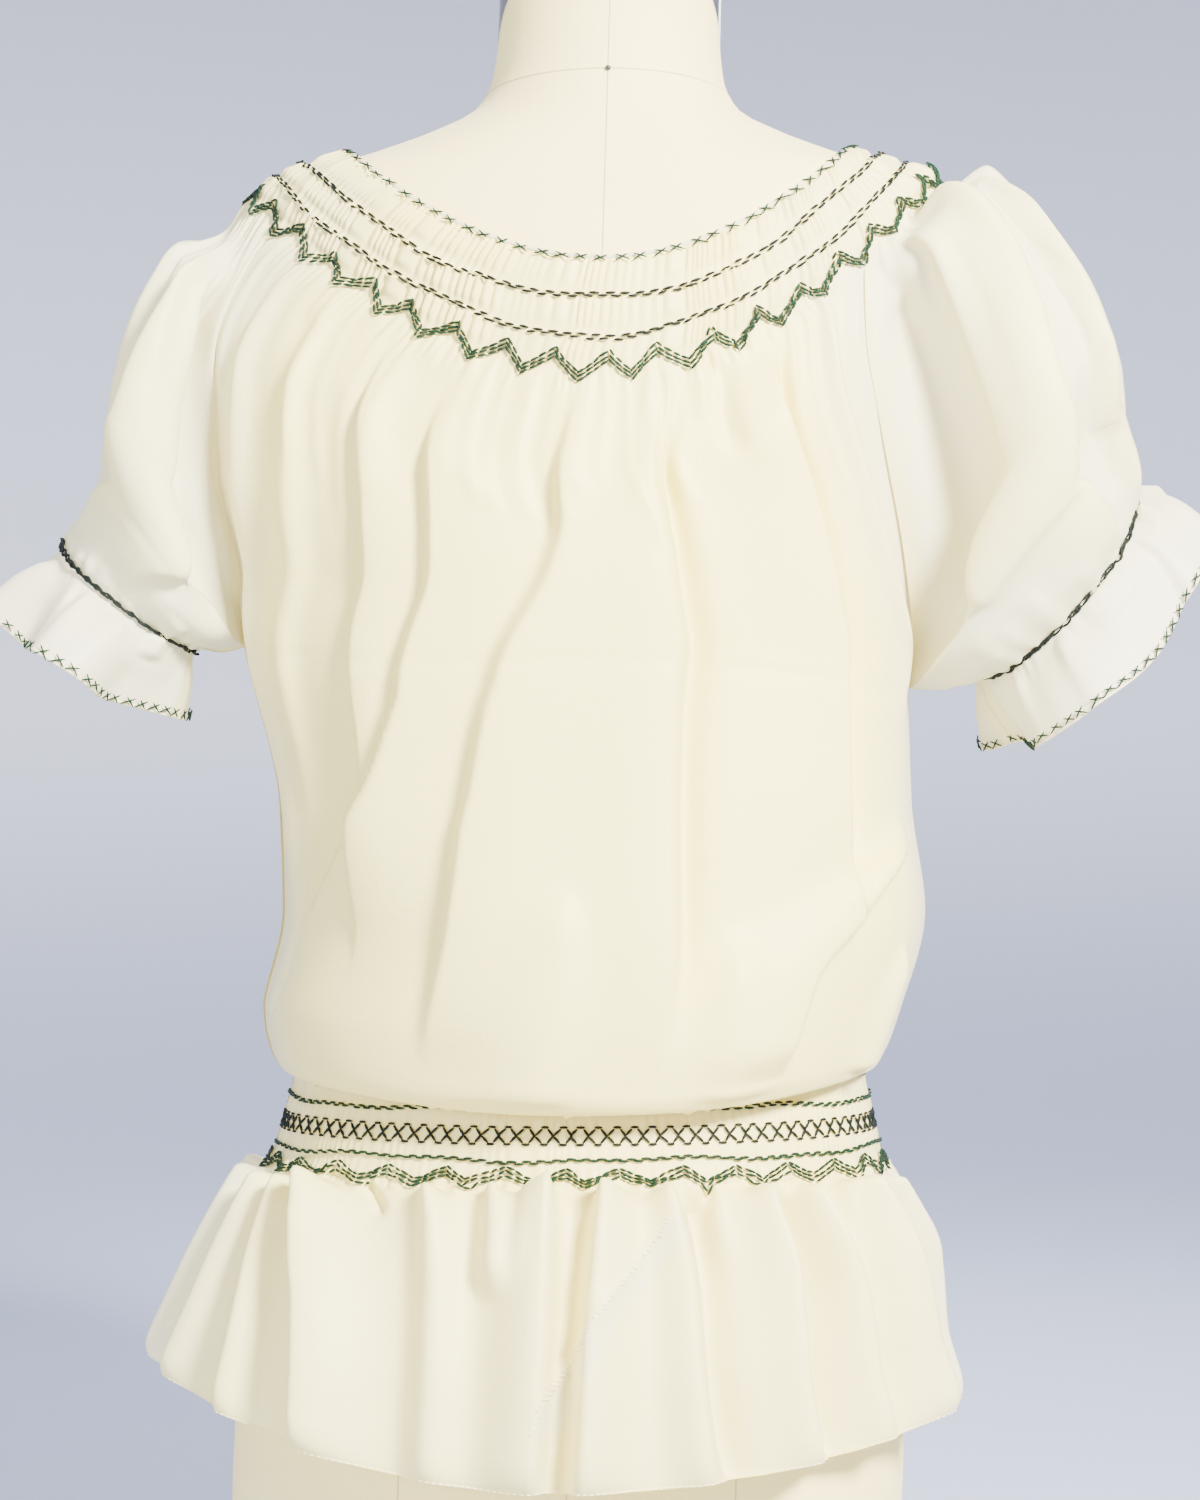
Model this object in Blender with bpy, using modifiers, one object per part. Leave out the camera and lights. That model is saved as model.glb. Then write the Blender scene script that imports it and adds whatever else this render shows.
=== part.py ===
"""A smocked peasant blouse worn by a limbless dress form, in metres with +Z up.

The form stands on its flat underside at the origin. Its back, and so the back of the blouse,
faces -Y. The blouse is four cloth walls: a back, a front and two raglan sleeves. Each wall is a
grid laid through stations, which are the curves that the cloth passes through from neck to hem.
Going round, turn 0 is the +X side, a quarter turn is the front and three quarters the back.
"""

import math

import bmesh
import bpy
from mathutils import Vector

WALL = 0.0011  # thickness of the cloth walls
SEAM = 0.0003  # gap between two pieces where they are sewn
LAP = 0.0021  # the sleeve's edge lies this far out on the body's, near the underarm
LEAVE = 0.8  # how straight the sleeve leaves the body at the raglan seams, from 0 to 1
CLEAR = 0.0022  # from the form's surface to the middle of the cloth that lies on it
LEAN = 0.0288  # the form leans this far towards +X for each metre of height

BODY_COLUMNS = 26
SLEEVE_COLUMNS = 22
FORM_COLUMNS = 32

# The form, from its flat underside to the neck: half width, and depths behind and in front.
FORM = (
    # height, half,   back,   front
    (0.000, 0.1555, 0.1080, 0.0980),
    (0.060, 0.1570, 0.1100, 0.1000),
    (0.120, 0.1550, 0.1100, 0.1010),
    (0.180, 0.1460, 0.1030, 0.0990),
    (0.250, 0.1275, 0.0875, 0.0920),
    (0.320, 0.1130, 0.0770, 0.0870),
    (0.390, 0.1190, 0.0830, 0.0970),
    (0.450, 0.1300, 0.0910, 0.1120),
    (0.500, 0.1380, 0.0950, 0.1190),
    (0.550, 0.1470, 0.0970, 0.1100),
    (0.600, 0.1590, 0.0930, 0.0930),
    (0.630, 0.1660, 0.0880, 0.0820),
    (0.648, 0.1660, 0.0820, 0.0730),
    (0.660, 0.1590, 0.0775, 0.0665),
    (0.668, 0.1460, 0.0740, 0.0615),
    (0.676, 0.1170, 0.0700, 0.0565),
    (0.686, 0.0880, 0.0655, 0.0510),
    (0.698, 0.0630, 0.0610, 0.0460),
    (0.712, 0.0545, 0.0575, 0.0430),
    (0.735, 0.0518, 0.0545, 0.0410),
    (0.790, 0.0515, 0.0530, 0.0400),
)
NECK_SIDE = 0.728  # the linen ends here at the sides of the neck
NECK_ARCH = 0.050  # and this much higher at its back and front
CAP_TOP = 0.786
CAP_INSET = 0.004
CAP_GAP = 0.0005

# Smocked yoke: each row of stitches lies on the form. Heights at the left and right sides, and at
# the middle of the back and of the front.
YOKE = (
    # left,   right,  back,   front
    (0.6755, 0.6775, 0.6185, 0.6080),  # neck edge
    (0.6710, 0.6745, 0.6025, 0.5910),  # first stitched row
    (0.6660, 0.6710, 0.5850, 0.5740),  # second stitched row
    (0.6570, 0.6650, 0.5690, 0.5570),  # zigzag row
)

# Below the yoke: the heights again, then the half widths to the left and right of the form's
# middle line and the depths behind and in front of it.
BODY = (
    # left,   right,  back,   front,  left,   right,  back,   front
    (0.5940, 0.6187, 0.5300, 0.5200, 0.1890, 0.1540, 0.1060, 0.1150),
    (0.5340, 0.5406, 0.4970, 0.4900, 0.1820, 0.1500, 0.1090, 0.1240),
    (0.4804, 0.4757, 0.4650, 0.4600, 0.1650, 0.1490, 0.1110, 0.1280),
    (0.4490, 0.4290, 0.4380, 0.4360, 0.1616, 0.1480, 0.1130, 0.1290),  # underarm
    (0.3760, 0.3760, 0.3760, 0.3760, 0.1430, 0.1510, 0.1180, 0.1300),
    (0.3250, 0.3250, 0.3220, 0.3220, 0.1400, 0.1590, 0.1240, 0.1320),
    (0.2800, 0.2820, 0.2720, 0.2720, 0.1480, 0.1500, 0.1280, 0.1350),  # fullest of the blouson
    (0.2590, 0.2600, 0.2450, 0.2450, 0.1440, 0.1430, 0.1250, 0.1310),
    (0.2515, 0.2525, 0.2380, 0.2380, 0.1390, 0.1385, 0.1170, 0.1220),  # lowest of the blouson
    (0.2560, 0.2570, 0.2450, 0.2450, 0.1360, 0.1360, 0.1085, 0.1125),  # turned back up inside
    (0.2610, 0.2610, 0.2560, 0.2560, 0.1340, 0.1340, 0.1010, 0.1050),
    (0.2540, 0.2540, 0.2510, 0.2510, 0.1315, 0.1315, 0.0945, 0.0985),  # top of the waist band
    (0.2087, 0.2087, 0.2087, 0.2087, 0.1425, 0.1425, 0.1035, 0.1035),  # foot of the waist band
    (0.1960, 0.1960, 0.1960, 0.1960, 0.1590, 0.1545, 0.1160, 0.1150),
    (0.1650, 0.1650, 0.1600, 0.1600, 0.1740, 0.1670, 0.1270, 0.1250),
    (0.1400, 0.1320, 0.1180, 0.1180, 0.1820, 0.1700, 0.1360, 0.1330),
    (0.1150, 0.0960, 0.0760, 0.0790, 0.1890, 0.1750, 0.1400, 0.1370),  # hem
)
ROW_3 = 3  # the station of the zigzag row, and so on
UNDERARM = 7
HEM = 20

# Where the raglan seams cross each station down to the underarm, in degrees from the side.
RAGLAN = (
    # left back, left front, right back, right front
    (21, 30, 30, 21),
    (22, 33, 33, 22),
    (24, 36, 36, 24),
    (26, 40, 40, 26),
    (22, 38, 38, 22),
    (17, 28, 28, 17),
    (9, 15, 15, 9),
    (0, 0, 0, 0),
)

# Sleeves, from the zigzag row down. The crown is the outermost line, as x and height. The seam
# runs out along the underside, as steps from the underarm. Open is how far round from the crown,
# in degrees, the cloth reaches before it meets the body or its own other edge.
SLEEVE_LEFT = (
    # crown x, height, seam x, height, half depth, open
    (-0.1443, 0.6592, 0.0000, 0.0000, 0.050, 95),
    (-0.1840, 0.6370, 0.0000, 0.0000, 0.060, 110),
    (-0.2050, 0.6030, 0.0000, 0.0000, 0.066, 136),
    (-0.2145, 0.5700, 0.0000, 0.0000, 0.067, 160),
    (-0.2190, 0.5450, 0.0000, 0.0000, 0.064, 180),  # underarm
    (-0.2230, 0.5230, -0.0102, -0.0020, 0.058, 180),
    (-0.2328, 0.4964, -0.0223, 0.0008, 0.045, 180),  # gathered row
    (-0.2470, 0.4810, -0.0294, -0.0160, 0.053, 180),
    (-0.2610, 0.4630, -0.0364, -0.0307, 0.059, 180),  # edge of the ruffle
)
SLEEVE_RIGHT = (
    (0.1724, 0.6672, 0.0000, 0.0000, 0.050, 95),
    (0.1980, 0.6740, 0.0000, 0.0000, 0.064, 110),
    (0.2330, 0.6420, 0.0000, 0.0000, 0.072, 136),
    (0.2560, 0.6060, 0.0000, 0.0000, 0.074, 160),
    (0.2660, 0.5750, 0.0000, 0.0000, 0.071, 180),
    (0.2678, 0.5460, 0.0135, 0.0000, 0.064, 180),
    (0.2635, 0.5213, 0.0305, 0.0067, 0.046, 180),
    (0.2790, 0.5170, 0.0360, -0.0110, 0.055, 180),
    (0.2940, 0.5000, 0.0437, -0.0276, 0.062, 180),
)
CUFF = 9
RUFFLE = 11
SKEW = {"left": 0.12, "right": 0.30}  # how far the back of each cuff is pushed out along the arm

FRONT_SKEW = 0.4  # the share of that by which its front is drawn in

# Folds on the body. Across runs from 0 at the left seam to 1 at the right one, at the top and at
# the foot of the fold; from and to are stations; high is how far the ridge stands out.
BACK_FOLDS = (
    # across top, across foot, from, to, half width, high
    (0.13, 0.10, 3.2, 11, 0.050, 0.007),
    (0.30, 0.16, 3.2, 11, 0.060, 0.009),
    (0.49, 0.33, 3.2, 12, 0.055, 0.010),
    (0.60, 0.62, 3.2, 12, 0.045, 0.008),
    (0.78, 0.84, 3.2, 11, 0.055, 0.008),
    (0.93, 0.95, 4.0, 11, 0.040, 0.006),
    (0.06, 0.05, 16.0, 21, 0.045, 0.015),
    (0.18, 0.17, 16.0, 21, 0.045, 0.015),
    (0.30, 0.31, 16.0, 21, 0.045, 0.012),
    (0.43, 0.42, 16.0, 21, 0.040, 0.015),
    (0.56, 0.58, 16.0, 21, 0.050, 0.012),
    (0.70, 0.72, 16.0, 21, 0.045, 0.012),
    (0.82, 0.84, 16.0, 21, 0.045, 0.012),
    (0.94, 0.95, 16.0, 21, 0.040, 0.015),
)
FRONT_FOLDS = (
    (0.08, 0.07, 3.2, 11, 0.050, 0.006),
    (0.22, 0.18, 3.2, 11, 0.055, 0.008),
    (0.38, 0.33, 3.2, 12, 0.050, 0.009),
    (0.52, 0.53, 3.2, 12, 0.045, 0.007),
    (0.68, 0.74, 3.2, 11, 0.055, 0.009),
    (0.88, 0.90, 3.2, 11, 0.050, 0.007),
    (0.05, 0.04, 16.0, 21, 0.040, 0.012),
    (0.17, 0.18, 16.0, 21, 0.045, 0.012),
    (0.31, 0.30, 16.0, 21, 0.050, 0.015),
    (0.46, 0.45, 16.0, 21, 0.045, 0.012),
    (0.58, 0.60, 16.0, 21, 0.045, 0.015),
    (0.72, 0.71, 16.0, 21, 0.050, 0.012),
    (0.84, 0.86, 16.0, 21, 0.045, 0.012),
    (0.96, 0.95, 16.0, 21, 0.040, 0.012),
)
SLEEVE_FOLDS = {
    "left": (
        (0.15, 0.15, 3.4, 8, 0.055, -0.016),
        (0.32, 0.30, 3.4, 9, 0.060, 0.006),
        (0.50, 0.55, 3.4, 9, 0.060, -0.005),
        (0.80, 0.82, 3.4, 8, 0.070, -0.010),
    ),
    "right": (
        (0.12, 0.14, 3.4, 8, 0.050, -0.014),
        (0.30, 0.34, 3.4, 9, 0.060, 0.006),
        (0.45, 0.42, 3.4, 9, 0.050, -0.007),
        (0.82, 0.80, 3.4, 8, 0.070, -0.011),
    ),
}
RUFFLE_WAVES = 6
RUFFLE_HEIGHT = 0.006

BODY_STEPS = (
    0, 1, 2, 3, 3.4, 4, 4.5, 5, 5.5, 6, 6.5, 7, 7.6, 8.3, 9, 9.5, 10, 10.5, 11, 11.5, 12, 12.5,
    13, 14, 15, 16, 16.5, 17, 18, 19, 20,
)  # fmt: skip
SLEEVE_STEPS = (0, 1, 2, 3, 3.4, 4, 4.5, 5, 5.5, 6, 6.5, 7, 7.5, 8, 8.5, 9, 9.6, 10.3, 11)


def smooth_step(x):
    """0 below 0, 1 above 1, with a soft rise between."""
    x = min(max(x, 0.0), 1.0)
    return x * x * (3 - 2 * x)


def slope(before, after):
    """The slope where two stretches meet: level at a peak or a dip, so nothing overshoots."""
    return 0.0 if before * after <= 0 else 2 * before * after / (before + after)


def between(before, start, end, after, x):
    """The number at x, from 0 to 1, on a smooth curve from start to end."""
    rise = end - start
    leave, arrive = slope(start - before, rise), slope(rise, after - end)
    bend = x * (leave * (1 - x) - arrive * x) * (1 - x)
    return start + rise * smooth_step(x) + bend


def spline(rows, x):
    """The point at x, from 0 to 1, between the middle two of four points."""
    return Vector([between(*numbers, x) for numbers in zip(*rows)])


def form_at(height):
    """The form's half width, back depth and front depth at a height."""
    last = len(FORM) - 2
    i = next((k for k in range(last + 1) if height < FORM[k + 1][0]), last)
    x = (height - FORM[i][0]) / (FORM[i + 1][0] - FORM[i][0])
    rows = [Vector(FORM[min(max(k, 0), last + 1)][1:]) for k in (i - 1, i, i + 1, i + 2)]
    return spline(rows, min(max(x, 0.0), 1.0))


def form_radius(turn, height):
    """How far the form's surface is from its middle line, in the direction of a turn."""
    half, back, front = form_at(height)
    depth = front if math.sin(turn) > 0 else back
    return 1 / math.hypot(math.cos(turn) / half, math.sin(turn) / depth)


def middle(height):
    """The form's middle line at a height."""
    return Vector((LEAN * height, 0, height))


def blend(turn, left, right, back, front):
    """A height that runs from the sides to the middle of the back or front as the turn goes on."""
    side = right if math.cos(turn) > 0 else left
    end = front if math.sin(turn) > 0 else back
    return end + (side - end) * math.cos(turn) ** 2


def yoke_ring(row, turn):
    """A point of a smocked row, which lies on the form's shoulders, back and chest."""
    height = blend(turn, *row)
    half = form_at(row[1] if math.cos(turn) > 0 else row[0])[0]
    across = half * math.cos(turn)
    wide, back, front = form_at(height)
    deep = math.sqrt(max(0.0, 1 - (across / wide) ** 2))
    deep = deep * front if math.sin(turn) > 0 else -deep * back
    out = Vector((math.cos(turn), math.sin(turn), 1)) * CLEAR
    return middle(height) + Vector((across, deep, 0)) + out


def body_ring(row, turn):
    """A point of a station below the yoke."""
    left, right, back, front = row[4:]
    wide = right if math.cos(turn) > 0 else left
    deep = front if math.sin(turn) > 0 else back
    height = blend(turn, *row[:4])
    return middle(height) + Vector((wide * math.cos(turn), deep * math.sin(turn), 0))


def station(i, turn):
    """A point of any of the body's stations, counted from the neck edge."""
    i = min(max(i, 0), HEM)
    return yoke_ring(YOKE[i], turn) if i <= ROW_3 else body_ring(BODY[i - ROW_3 - 1], turn)


def off_the_form(point):
    """Moves a point out from the form's middle line where it would come too near the surface."""
    if point.z > FORM[-1][0]:
        return point
    arm = point - middle(point.z)
    reach = math.hypot(arm.x, arm.y)
    least = form_radius(math.atan2(arm.y, arm.x), point.z) + CLEAR
    if reach >= least:
        return point
    return middle(point.z) + arm * (least / reach)


def fold_height(folds, across, step):
    """How far the folds lift the cloth at a place on it."""
    high = 0.0
    for top, foot, first, last, half_width, lift in folds:
        along = (step - first) / (last - first)
        if 0 < along < 1:
            gap = (across - (top + (foot - top) * along)) / half_width
            fade = smooth_step(4 * along)
            if last <= HEM:
                fade *= smooth_step(4 * (1 - along))
            high += lift * math.exp(-gap * gap) * fade
    return high * smooth_step(12 * min(across, 1 - across))


def at_step(rows, step):
    """The numbers of a table's rows at a step, which may fall between two of them."""
    last = len(rows) - 1
    i = min(int(step), last - 1)
    near = [rows[min(max(k, 0), last)] for k in (i - 1, i, i + 1, i + 2)]
    return [between(*numbers, step - i) for numbers in zip(*near)]


def raglan_turn(face, side, step):
    """Where a raglan seam crosses a step: at the side itself from the underarm down."""
    column = (0 if side == "left" else 2) + (face == "front")
    off = math.radians(at_step(RAGLAN, min(step, UNDERARM))[column])
    turn = off if side == "right" else math.pi - off
    return turn if face == "front" else -turn


def ring_point(turn, step):
    """A point of the tube that the stations make."""
    i = min(int(step), HEM - 1)
    return spline([station(k, turn) for k in (i - 1, i, i + 1, i + 2)], step - i)


def body_point(face, across, step):
    """A point of the back or front. Across runs from the left seam, at 0, to the right, at 1."""
    left, right = (raglan_turn(face, side, step) for side in ("left", "right"))
    turn = left + (right - left) * across
    folds = BACK_FOLDS if face == "back" else FRONT_FOLDS
    out = Vector((math.cos(turn), math.sin(turn), 0))
    return off_the_form(ring_point(turn, step) + out * fold_height(folds, across, step))


def sleeve_seams(side, step):
    """The two edges of a sleeve: on the body down to the underarm, then its own underside."""
    ends = []
    down = min(step, UNDERARM)
    for face in ("back", "front"):
        turn = raglan_turn(face, side, down)
        lap = LAP * smooth_step((down - ROW_3 - 1) / 2)
        out = Vector((math.cos(turn), math.sin(turn), 0))
        ends.append(body_point(face, float(side == "right"), down) + out * lap)
    return ends


def sleeve_section(side, across, step):
    """A point of a sleeve below the yoke, and the middle of the sleeve there."""
    rows = SLEEVE_LEFT if side == "left" else SLEEVE_RIGHT
    crown_x, crown_z, seam_x, seam_z, deep, open_angle = at_step(rows, step - ROW_3)
    ends = [end + Vector((seam_x, 0, seam_z)) for end in sleeve_seams(side, step)]
    crown = Vector((crown_x, 0, crown_z))
    seam = ends[0].lerp(ends[1], across) * Vector((1, 0, 1))
    reach = math.radians(open_angle)
    angle = reach * (2 * across - 1)
    shut = math.cos(reach)
    centre = (seam - crown * shut) / (1 - shut)
    arch = shut + (1 - shut) * (1 - (2 * across - 1) ** 2)
    straight = LEAVE * smooth_step(UNDERARM - step)
    rise = math.cos(angle) * (1 - straight) + arch * straight
    point = centre + (crown - centre) * rise
    back, front = (end.y for end in ends)
    point.y = deep * math.sin(angle)
    point.y += (back + deep * math.sin(reach)) * (1 - smooth_step(2.5 * across))
    point.y += (front - deep * math.sin(reach)) * smooth_step(2.5 * across - 1.5)
    arm = (crown - seam).cross(Vector((0, 1 if side == "left" else -1, 0))).normalized()
    share = SKEW[side] if point.y < 0 else SKEW[side] * FRONT_SKEW
    push = arm * (-point.y * share * smooth_step((step - UNDERARM) / 2))
    return point + push, crown.lerp(seam, 0.5) + push


def sleeve_point(side, across, step):
    """A point of a sleeve. Across runs from the back seam, at 0, to the front seam, at 1."""
    down = min(step, UNDERARM)
    back, front = (raglan_turn(face, side, down) for face in ("back", "front"))
    if side == "left":
        back += math.tau
    turn = back + (front - back) * across
    on_ring = ring_point(turn, step)
    if step <= ROW_3:
        return on_ring
    point, core = sleeve_section(side, across, step)
    lift = fold_height(SLEEVE_FOLDS[side], across, step)
    if step > CUFF:
        wave = math.cos(math.tau * RUFFLE_WAVES * across)
        lift += RUFFLE_HEIGHT * wave * smooth_step((step - CUFF) / 2)
    point += (point - core).normalized() * lift
    return off_the_form(on_ring.lerp(point, smooth_step(step - ROW_3)))


def material(name, colour, roughness):
    """A plain painted surface; colour is linear."""
    made = bpy.data.materials.new(name)
    made.use_nodes = True
    shader = made.node_tree.nodes["Principled BSDF"]
    shader.inputs["Base Color"].default_value = (*colour, 1)
    shader.inputs["Roughness"].default_value = roughness
    shader.inputs["Metallic"].default_value = 0
    return made


def keep(name, bm, surface, collection):
    """Makes a bmesh a named object of the collection."""
    mesh = bpy.data.meshes.new(name)
    bm.to_mesh(mesh)
    bm.free()
    mesh.materials.append(surface)
    mesh.shade_smooth()
    made = bpy.data.objects.new(name, mesh)
    collection.objects.link(made)
    return made


def cloth(name, place, columns, steps, surface, collection):
    """A cloth wall: a grid whose points place(across, step) gives, thickened to both sides."""
    bm = bmesh.new()
    bmesh.ops.create_grid(bm, x_segments=columns, y_segments=len(steps) - 1, size=0.5)
    for vert in bm.verts:
        across = vert.co.x + 0.5
        row = round((vert.co.y + 0.5) * (len(steps) - 1))
        vert.co = place(across, steps[row])
    made = keep(name, bm, surface, collection)
    wall = made.modifiers.new("wall", "SOLIDIFY")
    wall.thickness = WALL
    wall.offset = 0
    return made


def drawn_in(point, inward, gap):
    """A seam's edge moved along the cloth, so that two sewn edges don't touch."""
    return point + (inward - point).normalized() * gap


def body_panel(face, collection, surface):
    """The back or the front, from the neck edge to the hem."""

    def place(across, step):
        point = body_point(face, across, step)
        if across in (0.0, 1.0):
            point = drawn_in(point, body_point(face, abs(across - 0.02), step), SEAM)
        return point

    return cloth(f"blouse_{face}", place, BODY_COLUMNS, BODY_STEPS, surface, collection)


def sleeve_panel(side, collection, surface):
    """A raglan sleeve, whose two edges meet along its underside from the underarm out."""

    def place(across, step):
        point = sleeve_point(side, across, step)
        if across in (0.0, 1.0):
            gap = SEAM + (WALL * 0.85 if ROW_3 < step <= UNDERARM else 0)
            point = drawn_in(point, sleeve_point(side, abs(across - 0.02), step), gap)
        return point

    return cloth(f"sleeve_{side}", place, SLEEVE_COLUMNS, SLEEVE_STEPS, surface, collection)


def turned_form(name, rings, low, high, surface, collection):
    """A closed solid through rings, each a function of the turn, shut by low and high points."""
    bm = bmesh.new()
    count = len(rings) + 1
    bmesh.ops.create_uvsphere(bm, u_segments=FORM_COLUMNS, v_segments=count, radius=1)
    for vert in bm.verts:
        latitude = round(count * (1 - math.acos(max(-1, min(1, vert.co.z))) / math.pi))
        if latitude in (0, count):
            vert.co = low if latitude == 0 else high
            continue
        vert.co = rings[latitude - 1](math.atan2(vert.co.y, vert.co.x))
    return keep(name, bm, surface, collection)


def form_ring(height, inset=0.0):
    """A level ring of the form's surface."""

    def ring(turn):
        radius = form_radius(turn, height) - inset
        return middle(height) + Vector((math.cos(turn), math.sin(turn), 0)) * radius

    return ring


def neck_ring(lift):
    """The saddle-shaped edge where the linen ends, or the cap's foot just above it."""

    def ring(turn):
        height = NECK_SIDE + NECK_ARCH * abs(math.sin(turn)) + lift
        return form_ring(height)(turn)

    return ring


def dress_form(collection):
    """The linen torso and the dark cap let into the top of its neck."""
    linen = material("linen_cover", (0.83, 0.75, 0.57), 0.85)
    dark = material("neck_cap_enamel", (0.05, 0.055, 0.07), 0.35)
    heights = [row[0] for row in FORM if row[0] < NECK_SIDE]
    extra = [0.03, 0.09, 0.15, 0.215, 0.285, 0.355, 0.42, 0.475, 0.525, 0.575, 0.615, 0.64]
    levels = sorted(heights + extra)
    rings = [form_ring(height) for height in levels] + [neck_ring(0)]
    seat = middle(NECK_SIDE + NECK_ARCH / 2)
    turned_form("form_torso", rings, middle(0), seat, linen, collection)
    top = [neck_ring(CAP_GAP), form_ring(CAP_TOP - CAP_INSET / 4), form_ring(CAP_TOP, CAP_INSET)]
    foot = seat + Vector((0, 0, CAP_GAP))
    turned_form("form_neck_cap", top, foot, middle(CAP_TOP), dark, collection)


def build():
    for old in list(bpy.data.objects):
        bpy.data.objects.remove(old)
    collection = bpy.data.collections.new("peasant_blouse_on_dress_form")
    bpy.context.scene.collection.children.link(collection)
    silk = material("cream_silk", (0.86, 0.81, 0.66), 0.5)
    for face in ("back", "front"):
        body_panel(face, collection, silk)
    for side in ("left", "right"):
        sleeve_panel(side, collection, silk)
    dress_form(collection)


build()
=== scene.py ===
# %% [markdown]
# # The looks of a smocked peasant blouse on a dress form
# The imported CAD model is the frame: its nodes hold the sizes and the places. This notebook
# covers them with the finished pieces. The blouse is thin silk, so each of its four cut pieces
# becomes one fine sheet laid through the stations of its CAD wall, with far more folds. It leaves
# the wall in two places: the top of the peplum is narrower, and the sleeves' crowns are lower.
# Thread, hems and the seams of the form are small pieces of their own.

# %% Start from the frame
import math

import bmesh
import bpy
import numpy as np
from mathutils import Matrix, Vector


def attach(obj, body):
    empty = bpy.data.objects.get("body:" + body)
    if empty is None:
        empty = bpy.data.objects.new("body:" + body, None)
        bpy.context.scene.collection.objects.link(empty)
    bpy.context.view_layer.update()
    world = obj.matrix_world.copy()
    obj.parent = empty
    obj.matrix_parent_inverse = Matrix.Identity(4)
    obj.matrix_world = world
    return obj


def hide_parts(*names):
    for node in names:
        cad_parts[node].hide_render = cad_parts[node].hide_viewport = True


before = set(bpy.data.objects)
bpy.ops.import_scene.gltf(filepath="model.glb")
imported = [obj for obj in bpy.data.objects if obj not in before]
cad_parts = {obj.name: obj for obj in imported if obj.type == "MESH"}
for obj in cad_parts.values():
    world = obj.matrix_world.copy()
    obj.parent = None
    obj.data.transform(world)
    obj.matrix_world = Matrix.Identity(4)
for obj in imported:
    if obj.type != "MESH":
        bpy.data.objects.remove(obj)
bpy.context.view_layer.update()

# %% [markdown]
# ## Small helpers
# Colours are written as the hex values a painter would pick on screen, and one function turns
# them into the linear numbers that shaders need. Another adds a shader node, sets its sockets
# and links it, so that each material below reads from top to bottom.

# %% Colours, nodes and objects
SEED = 41


def linear(code):
    """An sRGB hex colour as linear red, green, blue and alpha."""
    parts = [int(code[i : i + 2], 16) / 255 for i in (1, 3, 5)]
    return (*((c / 12.92 if c <= 0.04045 else ((c + 0.055) / 1.055) ** 2.4) for c in parts), 1)


def node(tree, kind, sockets=(), **settings):
    """Adds a shader node. Each socket is (name or number, value or output to link)."""
    made = tree.nodes.new(kind)
    for key, value in settings.items():
        setattr(made, key, value)
    for key, value in sockets:
        if isinstance(value, bpy.types.NodeSocket):
            tree.links.new(value, made.inputs[key])
        else:
            made.inputs[key].default_value = value
    return made


def blank_material(name):
    """An empty material and its output node."""
    made = bpy.data.materials.new(name)
    made.use_nodes = True
    made.node_tree.nodes.clear()
    return made, made.node_tree, made.node_tree.nodes.new("ShaderNodeOutputMaterial")


def keep(name, bm, *materials):
    """Makes a bmesh a named object of the scene, smooth shaded, and counts its triangles."""
    mesh = bpy.data.meshes.new(name)
    bm.to_mesh(mesh)
    bm.free()
    for material in materials:
        mesh.materials.append(material)
    mesh.shade_smooth()
    made = bpy.data.objects.new(name, mesh)
    bpy.context.scene.collection.objects.link(made)
    print(name, sum(len(p.vertices) - 2 for p in mesh.polygons), "triangles")
    return made


# %% [markdown]
# ## The silk
# The cloth is silk crepe de chine: a plain weave of twisted yarn in undyed cream. It scatters
# light softly, has a quiet sheen at grazing angles, and lets a good part of the light through. A
# translucent shader beside the ordinary one gives that. An attribute says how dense and warm each
# place looks: 1 in the hem, less in seams and smocking. It also carries painted light: it is high
# wherever the linen form stands close behind, which paints in the form's warm colour as if seen
# through the thin silk, and on the sleeves it is higher along the fold ridges, a painted highlight
# that leaves the valleys looking shaded. The weave is drawn 0.6 mm wide, about three times too
# coarse, because the real one wouldn't show.

# %% Silk material
SILK = "#F3EDC8"
SILK_DENSE_AND_PAINTED_LIGHT = "#FFF08E"
YARN = 0.0006
BANDS = 20  # a wave texture draws this many bands to a unit


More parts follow.
